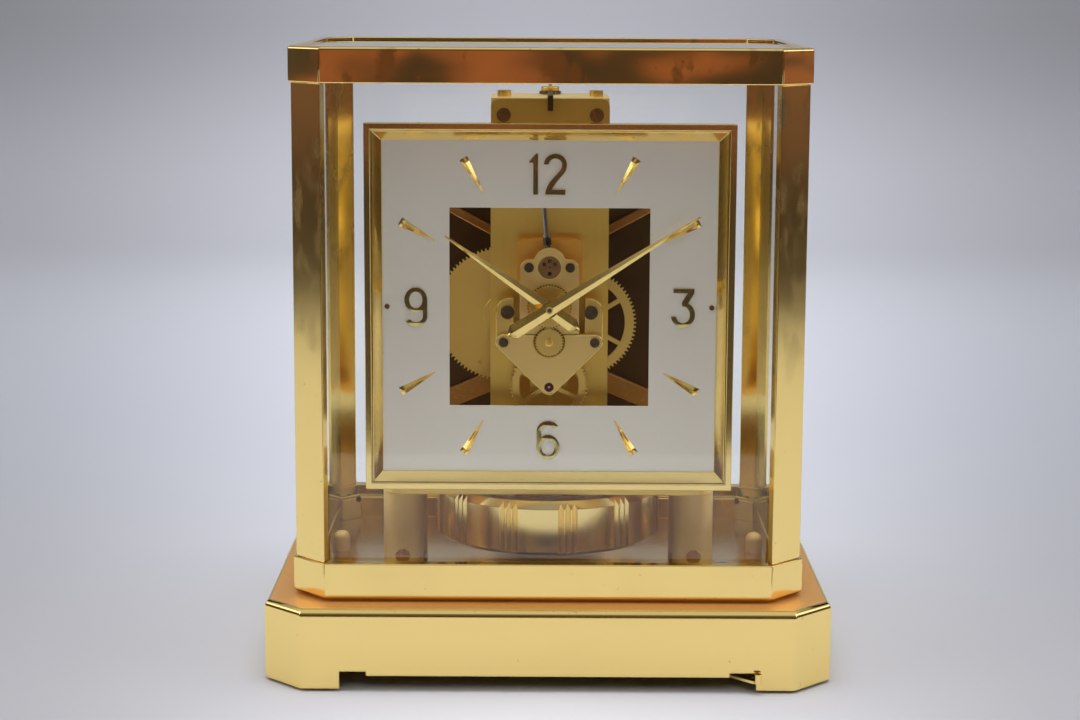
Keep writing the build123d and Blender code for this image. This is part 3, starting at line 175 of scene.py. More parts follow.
class ClockColours(PropertyGroup):
    """Linear colours of the finishes."""

    polished_gold: colour("Polished gold", "Case, hands and markers", (0.93, 0.71, 0.27))
    number_gold: colour("Number gold", "Numbers of the dial", (0.62, 0.53, 0.23))
    ring_gold: colour("Ring gold", "Pendulum ring", (0.97, 0.75, 0.31))
    bracket_gold: colour("Bracket gold", "Suspension bracket", (1.0, 0.76, 0.36))
    # Also the colour of the painted shade on the upper part of the posts
    tarnish: colour("Tarnish", "Brown bloom on old gilding", (0.36, 0.21, 0.075))
    satin_gold: colour("Satin gold", "Wheels and small turned parts", (1.0, 0.70, 0.20))
    bridge_gold: colour("Bridge gold", "Front bridge and escapement cock", (1.0, 0.72, 0.27))
    copper_gold: colour("Copper gold", "Escapement block", (1.0, 0.50, 0.085))
    spider_bronze: colour("Spider bronze", "Arms that carry the winding drum", (0.56, 0.29, 0.085))
    brushed_brass: colour("Brushed brass", "Column and rear plates", (0.98, 0.68, 0.17))
    pillar_brass: colour("Pillar brass", "Pillars of the movement", (1.0, 0.71, 0.26))
    floor_gold: colour("Floor gold", "Mirror plate on the plinth", (0.82, 0.60, 0.33))
    copper_deck: colour("Deck", "Grained upper face of the plinth", (0.95, 0.50, 0.14))
    dark_screw: colour("Dark screws", "Oiled screw heads", (0.16, 0.12, 0.07))
    cap_screw: colour("Cap screws", "Screws of the suspension", (0.36, 0.22, 0.10))
    brass_screw: colour("Brass screws", "Screws of the pillars", (0.85, 0.52, 0.20))
    copper_screw: colour("Copper screws", "Screws of dial, frame and drum", (0.30, 0.17, 0.09))
    setting: colour("Setting", "Metal of the pallet setting", (0.62, 0.37, 0.15))
    glass: colour("Glass", "Faint reflection in the panes", (0.96, 0.98, 0.98))
    steel: colour("Steel", "Arbors and the pallet rod", (0.56, 0.55, 0.55))
    silvered: colour("Silvered dial", "Satin face of the dial", (0.97, 0.93, 0.85))
    stone: colour("Red stone", "Jewels of the movement", (0.06, 0.010, 0.022))
    drum: colour("Drum", "Dark skin of the winding drum", (0.135, 0.078, 0.032))


class ClockStudio(PropertyGroup):
    """Lamps, paper and the room round them."""

    floor: colour("Floor", "Pale paper sweep", (0.74, 0.745, 0.78))
    room: colour("Room", "Dark room in front of the table", (0.056, 0.041, 0.034))
    ember: colour("Ember", "Warm things in that room", (0.32, 0.118, 0.07))
    dusk: colour("Dusk", "Upper part of that room", (0.125, 0.10, 0.062))
    wall: colour("Wall", "Pale wall behind the table", (0.34, 0.345, 0.36))
    ceiling: colour("Ceiling", "Pale ceiling above the table", (0.66, 0.65, 0.63))
    backdrop: colour("Backdrop", "What the camera sees past the paper", (0.47, 0.475, 0.50))
    overhead: number("Overhead lamp", "Power of the lamp above, in watts", 13.4, 500.0)
    side: number("Side lamps", "Power of each lamp at the side, in watts", 5.0, 500.0)
    front: number("Front lamp", "Power of the lamp in front, in watts", 2.6, 500.0)


# --- node trees


def pick(sockets, key):
    """A socket by its place, identifier or name."""
    if isinstance(key, int):
        return sockets[key]
    for socket in sockets:
        if socket.identifier == key:
            return socket
    return sockets[key]


class Wire:
    """An output socket; sums written with it add Math nodes."""

    def __init__(self, bench, socket):
        self.bench = bench
        self.socket = socket

    def sum(self, operation, first, second):
        return self.bench.node("ShaderNodeMath", {"operation": operation}, {0: first, 1: second})

    def __add__(self, other):
        return self.sum("ADD", self, other)

    def __sub__(self, other):
        return self.sum("SUBTRACT", self, other)

    def __rsub__(self, other):
        return self.sum("SUBTRACT", other, self)

    def __mul__(self, other):
        return self.sum("MULTIPLY", self, other)

    __radd__ = __add__
    __rmul__ = __mul__


class Bench:
    """A node tree while it is being built."""

    def __init__(self, tree):
        self.tree = tree

    def node(self, kind, settings=None, sockets=None, output=0):
        """Adds a node: its type, its settings first, then the values or wires of its sockets."""
        made = self.tree.nodes.new(kind)
        for key, value in (settings or {}).items():
            setattr(made, key, value)
        for key, value in (sockets or {}).items():
            target = pick(made.inputs, key)
            if isinstance(value, Wire):
                self.tree.links.new(value.socket, target)
            elif target.type == "RGBA":
                target.default_value = (*value, 1.0)
            else:
                target.default_value = value
        return Wire(self, pick(made.outputs, output)) if len(made.outputs) else made

    def place(self):
        """The point on the piece, in metres."""
        return self.node("ShaderNodeTexCoord", output="Object")

    def height(self):
        """How high a point on the piece is, in metres."""
        return self.axes(self.place())[2]

    def rim(self):
        """1 on the rounded edges of a piece, 0 elsewhere."""
        return self.node("ShaderNodeAttribute", {"attribute_name": "rim"}, None, "Fac")

    def reach(self, centre):
        """How far a point is from an axis that runs from front to back."""
        x, _, z = self.axes(self.place())
        flat = self.node("ShaderNodeCombineXYZ", None, {0: x - centre[0], 1: 0.0, 2: z - centre[1]})
        return self.node("ShaderNodeVectorMath", {"operation": "LENGTH"}, {0: flat}, "Value")

    def axes(self, vector):
        """The three parts of a vector."""
        split = self.node("ShaderNodeSeparateXYZ", None, {0: vector})
        return [Wire(self, split.socket.node.outputs[k]) for k in range(3)]

    def noise(self, scale, stretch=(1.0, 1.0, 1.0), detail=3.0, start=None):
        """Cloudy noise from 0 to 1, with its cells drawn out along an axis by a small stretch."""
        drawn = self.node("ShaderNodeMapping", None,
                          {"Vector": start or self.place(), "Scale": stretch})
        return self.node("ShaderNodeTexNoise", None,
                         {"Vector": drawn, "Scale": scale, "Detail": detail})

    def rise(self, value, low, high):
        """0 below low, 1 above high, and smooth between them."""
        return self.node("ShaderNodeMapRange", {"interpolation_type": "SMOOTHSTEP"},
                         {"Value": value, "From Min": low, "From Max": high})

    def blend(self, factor, first, second, kind="MIX"):
        """One colour laid over another."""
        return self.node("ShaderNodeMix", {"data_type": "RGBA", "blend_type": kind},
                         {"Factor_Float": factor, "A_Color": first, "B_Color": second},
                         "Result_Color")

    def bump(self, height, depth, strength):
        """A normal from a height, with its depth in metres."""
        return self.node("ShaderNodeBump", None,
                         {"Strength": strength, "Distance": depth, "Height": height})


def toned(tint, times):
    """A colour made darker, or brighter up to full."""
    return [min(1.0, times * c) for c in tint]


def finish(name, tint):
    """The bench of a new material."""
    material = bpy.data.materials.new(name)
    material.use_nodes = True
    material.diffuse_color = (*tint, 1.0)
    material.node_tree.nodes.clear()
    bench = Bench(material.node_tree)
    bench.material = material
    return bench


def close(bench, surface):
    """Joins the last shader to the material's output, and gives the material."""
    bench.node("ShaderNodeOutputMaterial", None, {"Surface": surface})
    return bench.material


def metal(bench, tint, roughness, normal=None, metallic=1.0, **more):
    """Closes a material with one surface, metallic unless it says otherwise."""
    sockets = {"Base Color": tint, "Roughness": roughness, "Metallic": metallic}
    if normal is not None:
        sockets["Normal"] = normal
    sockets.update({key.replace("_", " "): value for key, value in more.items()})
    return close(bench, bench.node("ShaderNodeBsdfPrincipled", None, sockets))


def handled(bench, scale):
    """The haze that handling leaves on polish, and the fine pits of old gilding."""
    haze = bench.rise(bench.noise(scale, detail=4.0), 0.42, 0.78)
    pits = bench.rise(bench.noise(620.0, detail=1.0), 0.76, 0.79)
    return haze, pits


def polished_gold(name, tint, tarnish, bloom_and_shade, gloss=0.10, wear=1.0):
    """Old polished gilding: haze, fine pits and, with some bloom, brown patches towards the top:
    the patches are tarnish, their rise with height is painted shade.
    """
    bench = finish(name, tint)
    haze, pits = handled(bench, 26.0)
    wipe = bench.noise(38.0, (1.0, 1.0, 0.22))
    brown = pits * 0.55
    rough = (haze * 0.07 + wipe * 0.05) * wear + gloss
    if bloom_and_shade:
        patch = bench.rise(bench.noise(120.0, (1.0, 1.0, 0.5), 6.0), 0.59 - 0.10 * bloom_and_shade, 0.68)
        # Painted shade: the patches grow with height, darkening the upper part as a reflection
        # would; the patches themselves are tarnish
        tarnish_and_shade = patch * bench.rise(bench.height(), *BLOOM_AND_SHADE_RISE)
        brown = brown + tarnish_and_shade * (0.85 * bloom_and_shade)
        rough = rough + tarnish_and_shade * (0.2 * bloom_and_shade)
    base = bench.blend(haze * 0.10, tint, toned(tint, 0.93))
    base = bench.blend(brown, base, tarnish)
    waves = bench.noise(60.0, detail=1.0)
    return metal(bench, base, rough, bench.bump(waves, 40 * MICRON, 0.35))


def grained_gold(name, tint, roughness, stretch, cells, depth, shade, shadows=(), body=1.0):
    """Metal with a grain, bright on its rounded edges, and dark with painted shade where a wheel
    runs close over it, so that the gaps between its teeth look shaded."""
    bench = finish(name, tint)
    grain = bench.noise(cells, stretch)
    cloud = bench.noise(45.0)
    rim = bench.rim()
    base = bench.blend(grain * shade + cloud * 0.12, tint, toned(tint, 0.62))
    base = bench.blend(rim, base, toned(tint, 1.12))
    for centre, radius in shadows:
        # Painted shade: a dark disc about each wheel's axis, seen through the gaps between its
        # teeth
        gap_shade = 1.0 - bench.rise(bench.reach(centre), radius - 0.3 * MM, radius)
        base = bench.blend(gap_shade * 0.9, base, PAINTED_GAP_SHADE)
    rough = (grain * 0.14 + cloud * 0.08 + (roughness - 0.11)) * (1.0 - rim * 0.62)
    return metal(bench, base, rough, bench.bump(grain, depth, 0.6), body)


def turned_gold(name, tint, roughness, centre):
    """Metal turned on a lathe: rings about a centre in the clock's face."""
    bench = finish(name, tint)
    ring = bench.node("ShaderNodeCombineXYZ", None, {0: bench.reach(centre), 1: 0.0, 2: 0.0})
    grain = bench.noise(FINE, start=ring)
    cloud = bench.noise(70.0)
    rim = bench.rim()
    base = bench.blend(grain * 0.08 + cloud * 0.14, tint, toned(tint, 0.6))
    base = bench.blend(rim, base, toned(tint, 1.12))
    rough = (grain * 0.1 + (roughness - 0.05)) * (1.0 - rim * 0.6)
    return metal(bench, base, rough, bench.bump(grain, 30 * MICRON, 0.7))


def silvered(name, tint):
    """Satin silvering, a little warm and clouded."""
    bench = finish(name, tint)
    grain = bench.noise(2400.0, detail=2.0)
    cloud = bench.noise(16.0)
    base = bench.blend(cloud * 0.10, tint, toned(tint, 0.9))
    normal = bench.bump(grain, 6 * MICRON, 0.35)
    return metal(bench, base, grain * 0.08 + 0.32, normal, 0.48)


def clear_glass(name, tint):
    """Clear plate: almost all passes, the rest is a faint reflection with a trace of dust."""
    bench = finish(name, tint)
    facing = bench.node("ShaderNodeNewGeometry", output="Backfacing")
    gleam = bench.node("ShaderNodeFresnel", None, {"IOR": 1.5})
    dust = bench.rise(bench.noise(30.0, detail=5.0), 0.52, 0.85)
    skin = bench.node("ShaderNodeBsdfPrincipled", None,
                      {"Base Color": tint, "Roughness": 0.03, "Metallic": 1.0})
    through = bench.node("ShaderNodeBsdfTransparent", None, {"Color": (0.985, 0.99, 0.985)})
    amount = (gleam * 1.45 + dust * 0.012) * (1.0 - facing)
    return close(bench, bench.node("ShaderNodeMixShader", None, {0: amount, 1: through, 2: skin}))


def setting_metal(name, tint, red):
    """The pallet setting in gold, and the lower jewel in red stone, in one piece."""
    bench = finish(name, tint)
    gold = bench.rise(bench.height(), *SETTING_RISE)
    grain = bench.noise(FINE, (1.0, 1.0, 0.1), 2.0)
    base = bench.blend(gold, red, bench.blend(grain * 0.1, tint, toned(tint, 0.6)))
    return metal(bench, base, gold * 0.2 + grain * 0.06 + 0.08, None, gold)


def red_stone(name, tint):
    """Dark red stone with a polished skin."""
    bench = finish(name, tint)
    depth = bench.noise(900.0, detail=2.0)
    base = bench.blend(depth, tint, toned(tint, 0.35))
    return metal(bench, base, depth * 0.05 + 0.05, None, 0.0, Coat_Weight=0.6, IOR=1.77)


def oiled_screw(name, tint, cap=None):
    """Dark screw steel with worn bright scratches and, if a cap is given, that colour where the
    heads stand over the bracket."""
    bench = finish(name, tint)
    worn = bench.rise(bench.noise(700.0, (1.0, 1.0, 0.3), 4.0), 0.5, 0.72)
    base = bench.blend(worn, tint, toned(tint, 1.8))
    if cap:
        over = bench.rise(bench.height(), bracket_top - 0.2 * MM, bracket_top)
        base = bench.blend(over, base, cap)
    rim = bench.rim()
    return metal(bench, base, (0.36 - worn * 0.12) * (1.0 - rim * 0.5), None)


def bright_steel(name, tint):
    """Drawn steel, dark at the height of the collar at the foot of the pallet rod."""
    bench = finish(name, tint)
    z = bench.height()
    draw = bench.noise(1200.0, (1.0, 1.0, 0.03), 2.0)
    collar = (1.0 - bench.rise(z, *COLLAR_TOP)) * bench.rise(z, *COLLAR_FOOT)
    base = bench.blend(draw * 0.3, tint, toned(tint, 0.55))
    base = bench.blend(collar * 0.85, base, COLLAR)
    return metal(bench, base, draw * 0.12 + 0.14, None)


def drum_skin(name, tint, brass):
    """Sheet metal with a dull lustre: dark on the front, bare brass round the sides."""
    bench = finish(name, tint)
    back = bench.axes(bench.place())[1]
    side = bench.rise(back, drum_face + 1.2 * MM, drum_face + 2.4 * MM)
    cloud = bench.noise(34.0, detail=4.0)
    grain = bench.noise(900.0, (1.0, 0.05, 1.0), 2.0)
    front = bench.blend(cloud * 0.6, tint, toned(tint, 0.5))
    bare = bench.blend(cloud * 0.4, brass, toned(brass, 0.7))
    base = bench.blend(side, front, bare)
    return metal(bench, base, cloud * 0.12 + 0.28, bench.bump(grain, 8 * MICRON, 0.5))


def grained_deck(name, tint, gold, tarnish):
    """The plinth: polished sides, and an upper face with a fine coppery grain."""
    bench = finish(name, gold)
    deck = bench.rise(bench.height(), deck_top - 0.25 * MM, deck_top - 0.05 * MM)
    sand = bench.noise(1300.0, detail=2.0)
    haze, pits = handled(bench, 24.0)
    side = bench.blend(haze * 0.10, gold, toned(gold, 0.93))
    side = bench.blend(pits * 0.5, side, tarnish)
    top = bench.blend(sand * 0.4, tint, toned(tint, 0.6))
    base = bench.blend(deck, side, top)
    rough = haze * 0.07 + 0.12 + deck * (sand * 0.15 + 0.2)
    normal = bench.bump(sand * deck, 20 * MICRON, 0.7)
    return metal(bench, base, rough, normal, 1.0 - deck * 0.5)


def wanted(name, context):
    """A finish by its name, made the first time that a piece asks for it."""
    label = "finish_" + name
    found = bpy.data.materials.get(label)
    if found:
        return found
    tint, sizes = context.scene.clock_colours, context.scene.clock_sizes
    gold, brown = tint.polished_gold[:], tint.tarnish[:]
    satin, brass = tint.satin_gold[:], tint.brushed_brass[:]
    own = getattr(tint, name, gold)[:]
    # Painted shade round the setting and hour wheels, for the bridges behind them
    gap_shade = ((wheel_axis["minute_work"], sizes.setting_gap_shade), (wheel_axis["hour"], sizes.hour_gap_shade))
    maker, *values = {
        # Polished: tint (own is the colour with the finish's name), tarnish, bloom with painted
        # shade, gloss, wear
        "polished_gold": (polished_gold, gold, brown, 0.0),
        "tarnished_gold": (polished_gold, gold, brown, 1.0, 0.11),
        "bright_gold": (polished_gold, gold, brown, 0.0, 0.06),
        "mirror_gold": (polished_gold, gold, brown, 0.35, 0.035, 0.3),
        "number_gold": (polished_gold, own, brown, 0.0, 0.09),
        "ring_gold": (polished_gold, own, brown, 0.0, 0.17, 0.5),
        "floor_gold": (polished_gold, own, brown, 0.0, 0.17),
        # Grained: tint, roughness, grain, cells to a metre, depth, grain shade, painted shade, how
        # metallic
        "satin_gold": (grained_gold, satin, 0.40, ACROSS, FINE, 4 * MICRON, 0.06),
        "bridge_gold": (grained_gold, own, 0.50, ACROSS, FINE, 4 * MICRON, 0.06, gap_shade, 0.88),
        "bracket_gold": (grained_gold, own, 0.50, ACROSS, FINE, 4 * MICRON, 0.10, (), 0.65),
        "spider_bronze": (grained_gold, own, 0.30, ACROSS, FINE, 2 * MICRON, 0.05),
        "copper_gold": (grained_gold, own, 0.34, (1.0, 1.0, 0.5), 900.0, 0.0, 0.03, (), 0.7),
        "pillar_brass": (grained_gold, own, 0.50, AROUND, COARSE, 6 * MICRON, 0.12, (), 0.45),
        "brushed_brass": (grained_gold, brass, 0.52, UPRIGHT, COARSE, 10 * MICRON, 0.14),
        # Turned: tint, roughness, axis
        "turned_barrel": (turned_gold, satin, 0.54, wheel_axis["barrel"]),
        "turned_third": (turned_gold, satin, 0.40, wheel_axis["third"]),
        "turned_second": (turned_gold, satin, 0.40, wheel_axis["second"]),
        "turned_minute": (turned_gold, satin, 0.40, wheel_axis["minute_work"]),
        "turned_centre": (turned_gold, satin, 0.40, wheel_axis["hour"]),
        "turned_drum": (turned_gold, brass, 0.36, drum_axis),
        # The rest: tint, then the other tints in the piece
        "plinth_gold": (grained_deck, tint.copper_deck[:], gold, brown),
        "drum": (drum_skin, own, brass),
        "dark_screw": (oiled_screw, own),
        "cap_screw": (oiled_screw, own, satin),
        "brass_screw": (oiled_screw, own),
        "copper_screw": (oiled_screw, own),
        "steel": (bright_steel, own),
        "silvered": (silvered, own),
        "case_glass": (clear_glass, tint.glass[:]),
        "setting": (setting_metal, own, tint.stone[:]),
        "red_stone": (red_stone, tint.stone[:]),
    }[name]
    return maker(label, *values)


# --- making pieces


def link(piece):
    """Puts a new piece in the scene."""
    bpy.context.scene.collection.objects.link(piece)
    return piece


def settle(piece):
    """Turns a piece's live modifiers into plain mesh."""
    graph = bpy.context.evaluated_depsgraph_get()
    mesh = bpy.data.meshes.new_from_object(piece.evaluated_get(graph), depsgraph=graph,
                                           preserve_all_data_layers=True)
    mesh.name = piece.name
    piece.modifiers.clear()
    piece.data = mesh
    return piece


def mark_rims(mesh):
    """Notes on each face whether the rounding made it, then leaves the mesh with one finish."""
    rims = [face.material_index for face in mesh.polygons]
    mesh.attributes.new("rim", "FLOAT", "FACE")
    mesh.attributes["rim"].data.foreach_set("value", [float(k) for k in rims])
    mesh.polygons.foreach_set("material_index", [0] * len(rims))
    mesh.materials.pop(index=1)


def dress(context, node, look, slot, edge=0.0, crease=32.0):
    """A finished copy of a node: its triangles joined, its edges rounded, its curves smooth."""
    shape = bmesh.new()
    shape.from_mesh(nodes[node].data)
    bmesh.ops.remove_doubles(shape, verts=shape.verts, dist=2 * MICRON)
    bmesh.ops.dissolve_limit(shape, angle_limit=math.radians(0.3), verts=shape.verts,
                             edges=shape.edges)
    mesh = bpy.data.meshes.new(node + "_finished")
    shape.to_mesh(mesh)
    shape.free()
    mesh.shade_smooth()
    mesh.set_sharp_from_angle(angle=math.radians(crease))
    mesh.materials.append(wanted(look, context))
    piece = link(bpy.data.objects.new(node + "_finished", mesh))
    if edge:
        mesh.materials.append(wanted(look, context))
        rounding = piece.modifiers.new("rounding", "BEVEL")
        rounding.width = edge
        rounding.segments = 2
        rounding.limit_method = "ANGLE"
        rounding.angle_limit = math.radians(crease)
        rounding.material = 1
        even = piece.modifiers.new("even shading", "WEIGHTED_NORMAL")
        even.keep_sharp = True
        mark_rims(settle(piece).data)
    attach(piece, nodes[node]["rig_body"])
    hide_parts(node)
    return piece


def points_piece(name, places):
    """A mesh of loose points, each with the way it faces and its turn."""
    mesh = bpy.data.meshes.new(name)
    mesh.from_pydata([spot for spot, _, _ in places], [], [])
    mesh.attributes.new("facing", "FLOAT_VECTOR", "POINT")
    mesh.attributes.new("turn", "FLOAT", "POINT")
    for k, (_, way, angle) in enumerate(places):
        mesh.attributes["facing"].data[k].vector = way
        mesh.attributes["turn"].data[k].value = angle
    return link(bpy.data.objects.new(name, mesh))


def node_tree(name):
    """A Geometry Nodes tree that takes places, a radius and a relief, and gives pieces."""
    tree = bpy.data.node_groups.new(name, "GeometryNodeTree")
    for label, kind in (("Places", "Geometry"), ("Radius", "Float"), ("Relief", "Float")):
        tree.interface.new_socket(label, in_out="INPUT", socket_type="NodeSocket" + kind)
    tree.interface.new_socket("Pieces", in_out="OUTPUT", socket_type="NodeSocketGeometry")
    bench = Bench(tree)
    first = bench.node("NodeGroupInput").socket.node
    return tree, bench, [Wire(bench, socket) for socket in first.outputs[:3]]


def scatter(bench, places, shape, material):
    """Sets a shape on each point, turned to its facing, and makes it real with its finish."""
    facing, turn = (
        bench.node("GeometryNodeInputNamedAttribute", {"data_type": kind}, {"Name": name})
        for kind, name in (("FLOAT_VECTOR", "facing"), ("FLOAT", "turn")))
    aimed = bench.node("FunctionNodeAlignRotationToVector", {"axis": "Z"}, {"Vector": facing})
    spin = bench.node("FunctionNodeAxisAngleToRotation", None,
                      {"Axis": (0.0, 0.0, 1.0), "Angle": turn})
    turned = bench.node("FunctionNodeRotateRotation", {"rotation_space": "LOCAL"},
                        {0: aimed, 1: spin})
    set_out = bench.node("GeometryNodeInstanceOnPoints", None,
                         {"Points": places, "Instance": shape, "Rotation": turned})
    real = bench.node("GeometryNodeRealizeInstances", None, {"Geometry": set_out})
    coated = bench.node("GeometryNodeSetMaterial", None, {"Geometry": real, "Material": material})
    bench.node("NodeGroupOutput", None, {0: coated})


def grow(piece, tree, sizes):
    """Runs a tree on a piece with the given sizes, and keeps the result as plain mesh."""
    maker = piece.modifiers.new("maker", "NODES")
    maker.node_group = tree
    for item in tree.interface.items_tree:
        if item.in_out == "INPUT" and item.name in sizes:
            maker[item.identifier] = sizes[item.name]
    return settle(piece)


def lifted(bench, shape, height):
    """A shape moved up."""
    shift = bench.node("ShaderNodeCombineXYZ", None, {2: height})
    return bench.node("GeometryNodeTransform", None, {"Geometry": shape, "Translation": shift})


def slotted_screws(name, material):
    """A tree that sets slotted screw heads on points."""
    tree, bench, (places, radius, relief) = node_tree(name)
    sides = 40
    head = bench.node("GeometryNodeMeshCylinder", None,
                      {"Vertices": sides, "Radius": radius, "Depth": relief * 2.0})
    cone = bench.node("GeometryNodeMeshCone", None,
                      {"Vertices": sides, "Radius Top": radius * 0.86, "Radius Bottom": radius,
                       "Depth": relief * 0.35})
    whole = bench.node("GeometryNodeMeshBoolean", {"operation": "UNION", "solver": "EXACT"},
                       {"Mesh 2": head})
    crown = lifted(bench, cone, relief)
    bench.tree.links.new(crown.socket, whole.socket.node.inputs["Mesh 2"])
    size = bench.node("ShaderNodeCombineXYZ", None,
                      {0: radius * 2.4, 1: radius * 0.26, 2: relief})
    slot = lifted(bench, bench.node("GeometryNodeMeshCube", None, {"Size": size}), relief * 1.35)
    made = bench.node("GeometryNodeMeshBoolean", {"operation": "DIFFERENCE", "solver": "EXACT"},
                      {"Mesh 1": whole, "Mesh 2": slot})
    scatter(bench, places, made, material)
    return tree


def set_stones(name, material):
    """A tree that sets domed stones on points."""
    tree, bench, (places, radius, relief) = node_tree(name)
    ball = bench.node("GeometryNodeMeshUVSphere", None,
                      {"Segments": 24, "Rings": 12, "Radius": radius})
    scale = bench.node("ShaderNodeCombineXYZ", None, {0: 1.0, 1: 1.0, 2: relief})
    lens = bench.node("GeometryNodeTransform", None, {"Geometry": ball, "Scale": scale})
    smooth = bench.node("GeometryNodeSetShadeSmooth", None, {"Geometry": lens})
    scatter(bench, places, smooth, material)
    return tree


# --- numbers


def arc(centre, reach, start, end, count=28):
    """Points along an ellipse, with angles in degrees."""
    spread = [math.radians(start + (end - start) * k / count) for k in range(count + 1)]
    return [(centre[0] + reach[0] * math.cos(a), centre[1] + reach[1] * math.sin(a))
            for a in spread]


def eased(points, count=6):
    """A smooth run through a few points."""
    ends = [points[0]] + points + [points[-1]]
    run = []
    for k in range(1, len(ends) - 2):
        a, b, c, d = (Vector(p) for p in ends[k - 1:k + 3])
        for n in range(count):
            t = n / count
            run.append(tuple(0.5 * (2 * b + (c - a) * t + (2 * a - 5 * b + 4 * c - d) * t * t
                                    + (3 * b - a - 3 * c + d) * t ** 3)))
    return run + [tuple(points[-1])]


def outline_one():
    """A one with a short flag."""
    return [[(-3.61, -7.34), (-3.61, 7.42), (-4.2, 7.42), (-4.5, 7.2), (-6.85, 4.5), (-6.76, 4.14),
             (-5.31, 4.14), (-5.31, -7.34)]]


def outline_two():
    """A two with a flat foot."""
    outer = arc((2.67, 3.41), (4.19, 3.93), 178, 0)
    slope = eased([(6.86, 3.41), (6.16, 0.85), (3.2, -2.7), (1.85, -4.75), (1.34, -5.57)])
    back = eased([(-0.97, -6.95), (-0.62, -5.4), (0.28, -3.41), (2.03, -1.2), (4.5, 1.6),
                  (5.09, 3.41)])
    inner = arc((2.67, 3.41), (2.42, 2.25), 0, 176)
    return [outer + slope[1:] + [(6.3, -5.57), (6.3, -7.34), (-0.97, -7.34)] + back + inner[1:]]


def outline_three():
    """A three with a flat top."""
    outer = arc((-0.03, -2.49), (4.4, 4.72), 65, -173)
    inner = arc((-0.03, -2.43), (2.55, 3.06), -168, 98)
    return [[(-3.6, 7.2), (4.05, 7.2), (4.03, 5.67)] + outer + inner
            + [(-0.47, 2.17), (1.57, 5.55), (-3.6, 5.55)]]


def outline_six():
    """A six with an open head and a round bowl."""
    head = arc((0.0, 3.52), (4.165, 3.7), 27, 180)
    bowl = arc((0.0, -2.594), (4.165, 4.635), 180, 486.6, 60)
    throat = arc((0.0, 3.52), (2.485, 2.02), 180, 27)
    return [head + bowl + throat, arc((0.0, -2.594), (2.42, 2.99), 0, 353, 47)]


def half_turned(loops):
    """The same outline the other way up."""
    return [[(-x, -y) for x, y in loop] for loop in loops]


# --- operators


class Finisher:
    """What operators share that finish nodes: each row has a node, its look and slot (the slot is
    not used) and, where its edges are rounded, by how much and from what angle."""

    def execute(self, context):
        for row in self.rows(context.scene.clock_sizes):
            dress(context, *row)
        return {"FINISHED"}


class CLOCK_OT_case(Finisher, Operator):
    """Finishes the plinth, floor plate, frames, posts and the nuts that hold the case"""

    bl_idname = "clock.case"
    bl_label = "Case"

    def rows(self, sizes):
        edge = sizes.case_edge
        yield "plinth", "plinth_gold", "polished_gold", edge * 0.7
        yield "lower_frame", "polished_gold", "polished_gold", edge * 0.8
        yield "top_frame", "mirror_gold", "polished_gold", edge * 0.8
        yield "corner_posts", "tarnished_gold", "polished_gold", edge
        yield "floor_plate", "floor_gold", "floor_gold", edge * 0.3
        yield "case_nuts", "pillar_brass", "polished_gold"


class CLOCK_OT_glass(Finisher, Operator):
    """Finishes the five panes"""

    bl_idname = "clock.glass"
    bl_label = "Glass"

    def rows(self, sizes):
        edge = sizes.plate_edge
        for side in ("front", "back", "left", "right", "top"):
            yield side + "_glass", "case_glass", "case_glass", edge


class CLOCK_OT_base_fittings(Operator):
    """Finishes the feet, the pendulum lock and the spirit level with its bubble"""

    bl_idname = "clock.base_fittings"
    bl_label = "Base fittings"

    def execute(self, context):
        sizes = context.scene.clock_sizes
        for node in ("levelling_foot_left", "levelling_foot_right", "rear_foot"):
            dress(context, node, "brushed_brass", "brushed_brass", sizes.wheel_edge)
        dress(context, "lock_lever", "polished_gold", "brushed_brass", sizes.wheel_edge * 2)
        dress(context, "lock_pivot", "steel", "steel", sizes.wheel_edge)
        dress(context, "spirit_level_cup", "polished_gold", "polished_gold", sizes.plate_edge)
        dress(context, "spirit_level_glass", "case_glass", "vial_glass")
        low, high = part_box("spirit_level_glass")
        spot = (0.45 * low.x + 0.55 * high.x, 0.5 * (low.y + high.y), high.z - BUBBLE_DEPTH)
        bubble = points_piece("spirit_level_bubble", [(spot, (0.0, 0.0, 1.0), 0.0)])
        grow(bubble, set_stones("bubble in the vial", wanted("case_glass", context)),
             {"Radius": sizes.bubble, "Relief": 0.4})
        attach(bubble, nodes["spirit_level_glass"]["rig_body"])
        return {"FINISHED"}


class CLOCK_OT_plates(Finisher, Operator):
    """Finishes the column, bridges, suspension bracket, and their pillars, screws and settings"""

    bl_idname = "clock.plates"
    bl_label = "Plates and bridges"

    def rows(self, sizes):
        edge = sizes.plate_edge
        for node in ("main_plate", "plate_pillars", "rear_bridge"):
            yield node, "brushed_brass", "brushed_brass", edge
        yield "movement_pillars", "pillar_brass", "brushed_brass", edge
        for node in ("front_bridge", "escapement_cock"):
            yield node, "bridge_gold", "satin_gold", edge
        yield "escapement_block", "copper_gold", "satin_gold", edge
        for node in ("bridge_blocks", "movement_base"):
            yield node, "satin_gold", "satin_gold", edge
        yield "suspension_bracket", "bracket_gold", "satin_gold", edge
        yield "bridge_screws", "dark_screw", "dark_screw", edge * 0.35
        yield "suspension_screws", "cap_screw", "dark_screw", edge * 0.35
        yield "pillar_screws", "brass_screw", "dark_screw", edge * 0.35
        yield "jewel_settings", "setting", "jewel", edge * 0.3


class CLOCK_OT_train(Finisher, Operator):
    """Finishes the wheels, pinions, barrel and pallet lever"""

    bl_idname = "clock.train"
    bl_label = "Gear train"

    def rows(self, sizes):
        edge = sizes.wheel_edge
        looks = {"barrel": "turned_barrel", "third_wheel": "turned_third",
                 "second_wheel": "turned_second", "minute_wheel": "turned_minute",
                 "setting_wheel": "turned_minute", "hour_wheel": "turned_centre",
                 "escape_wheel": "satin_gold"}
        for node, look in looks.items():
            yield node, look, "satin_gold", edge
        for node in ("centre_arbor", "cannon_pinion", "barrel_arbor", "pallet_lever"):
            yield node, "steel", "steel", edge * 0.6


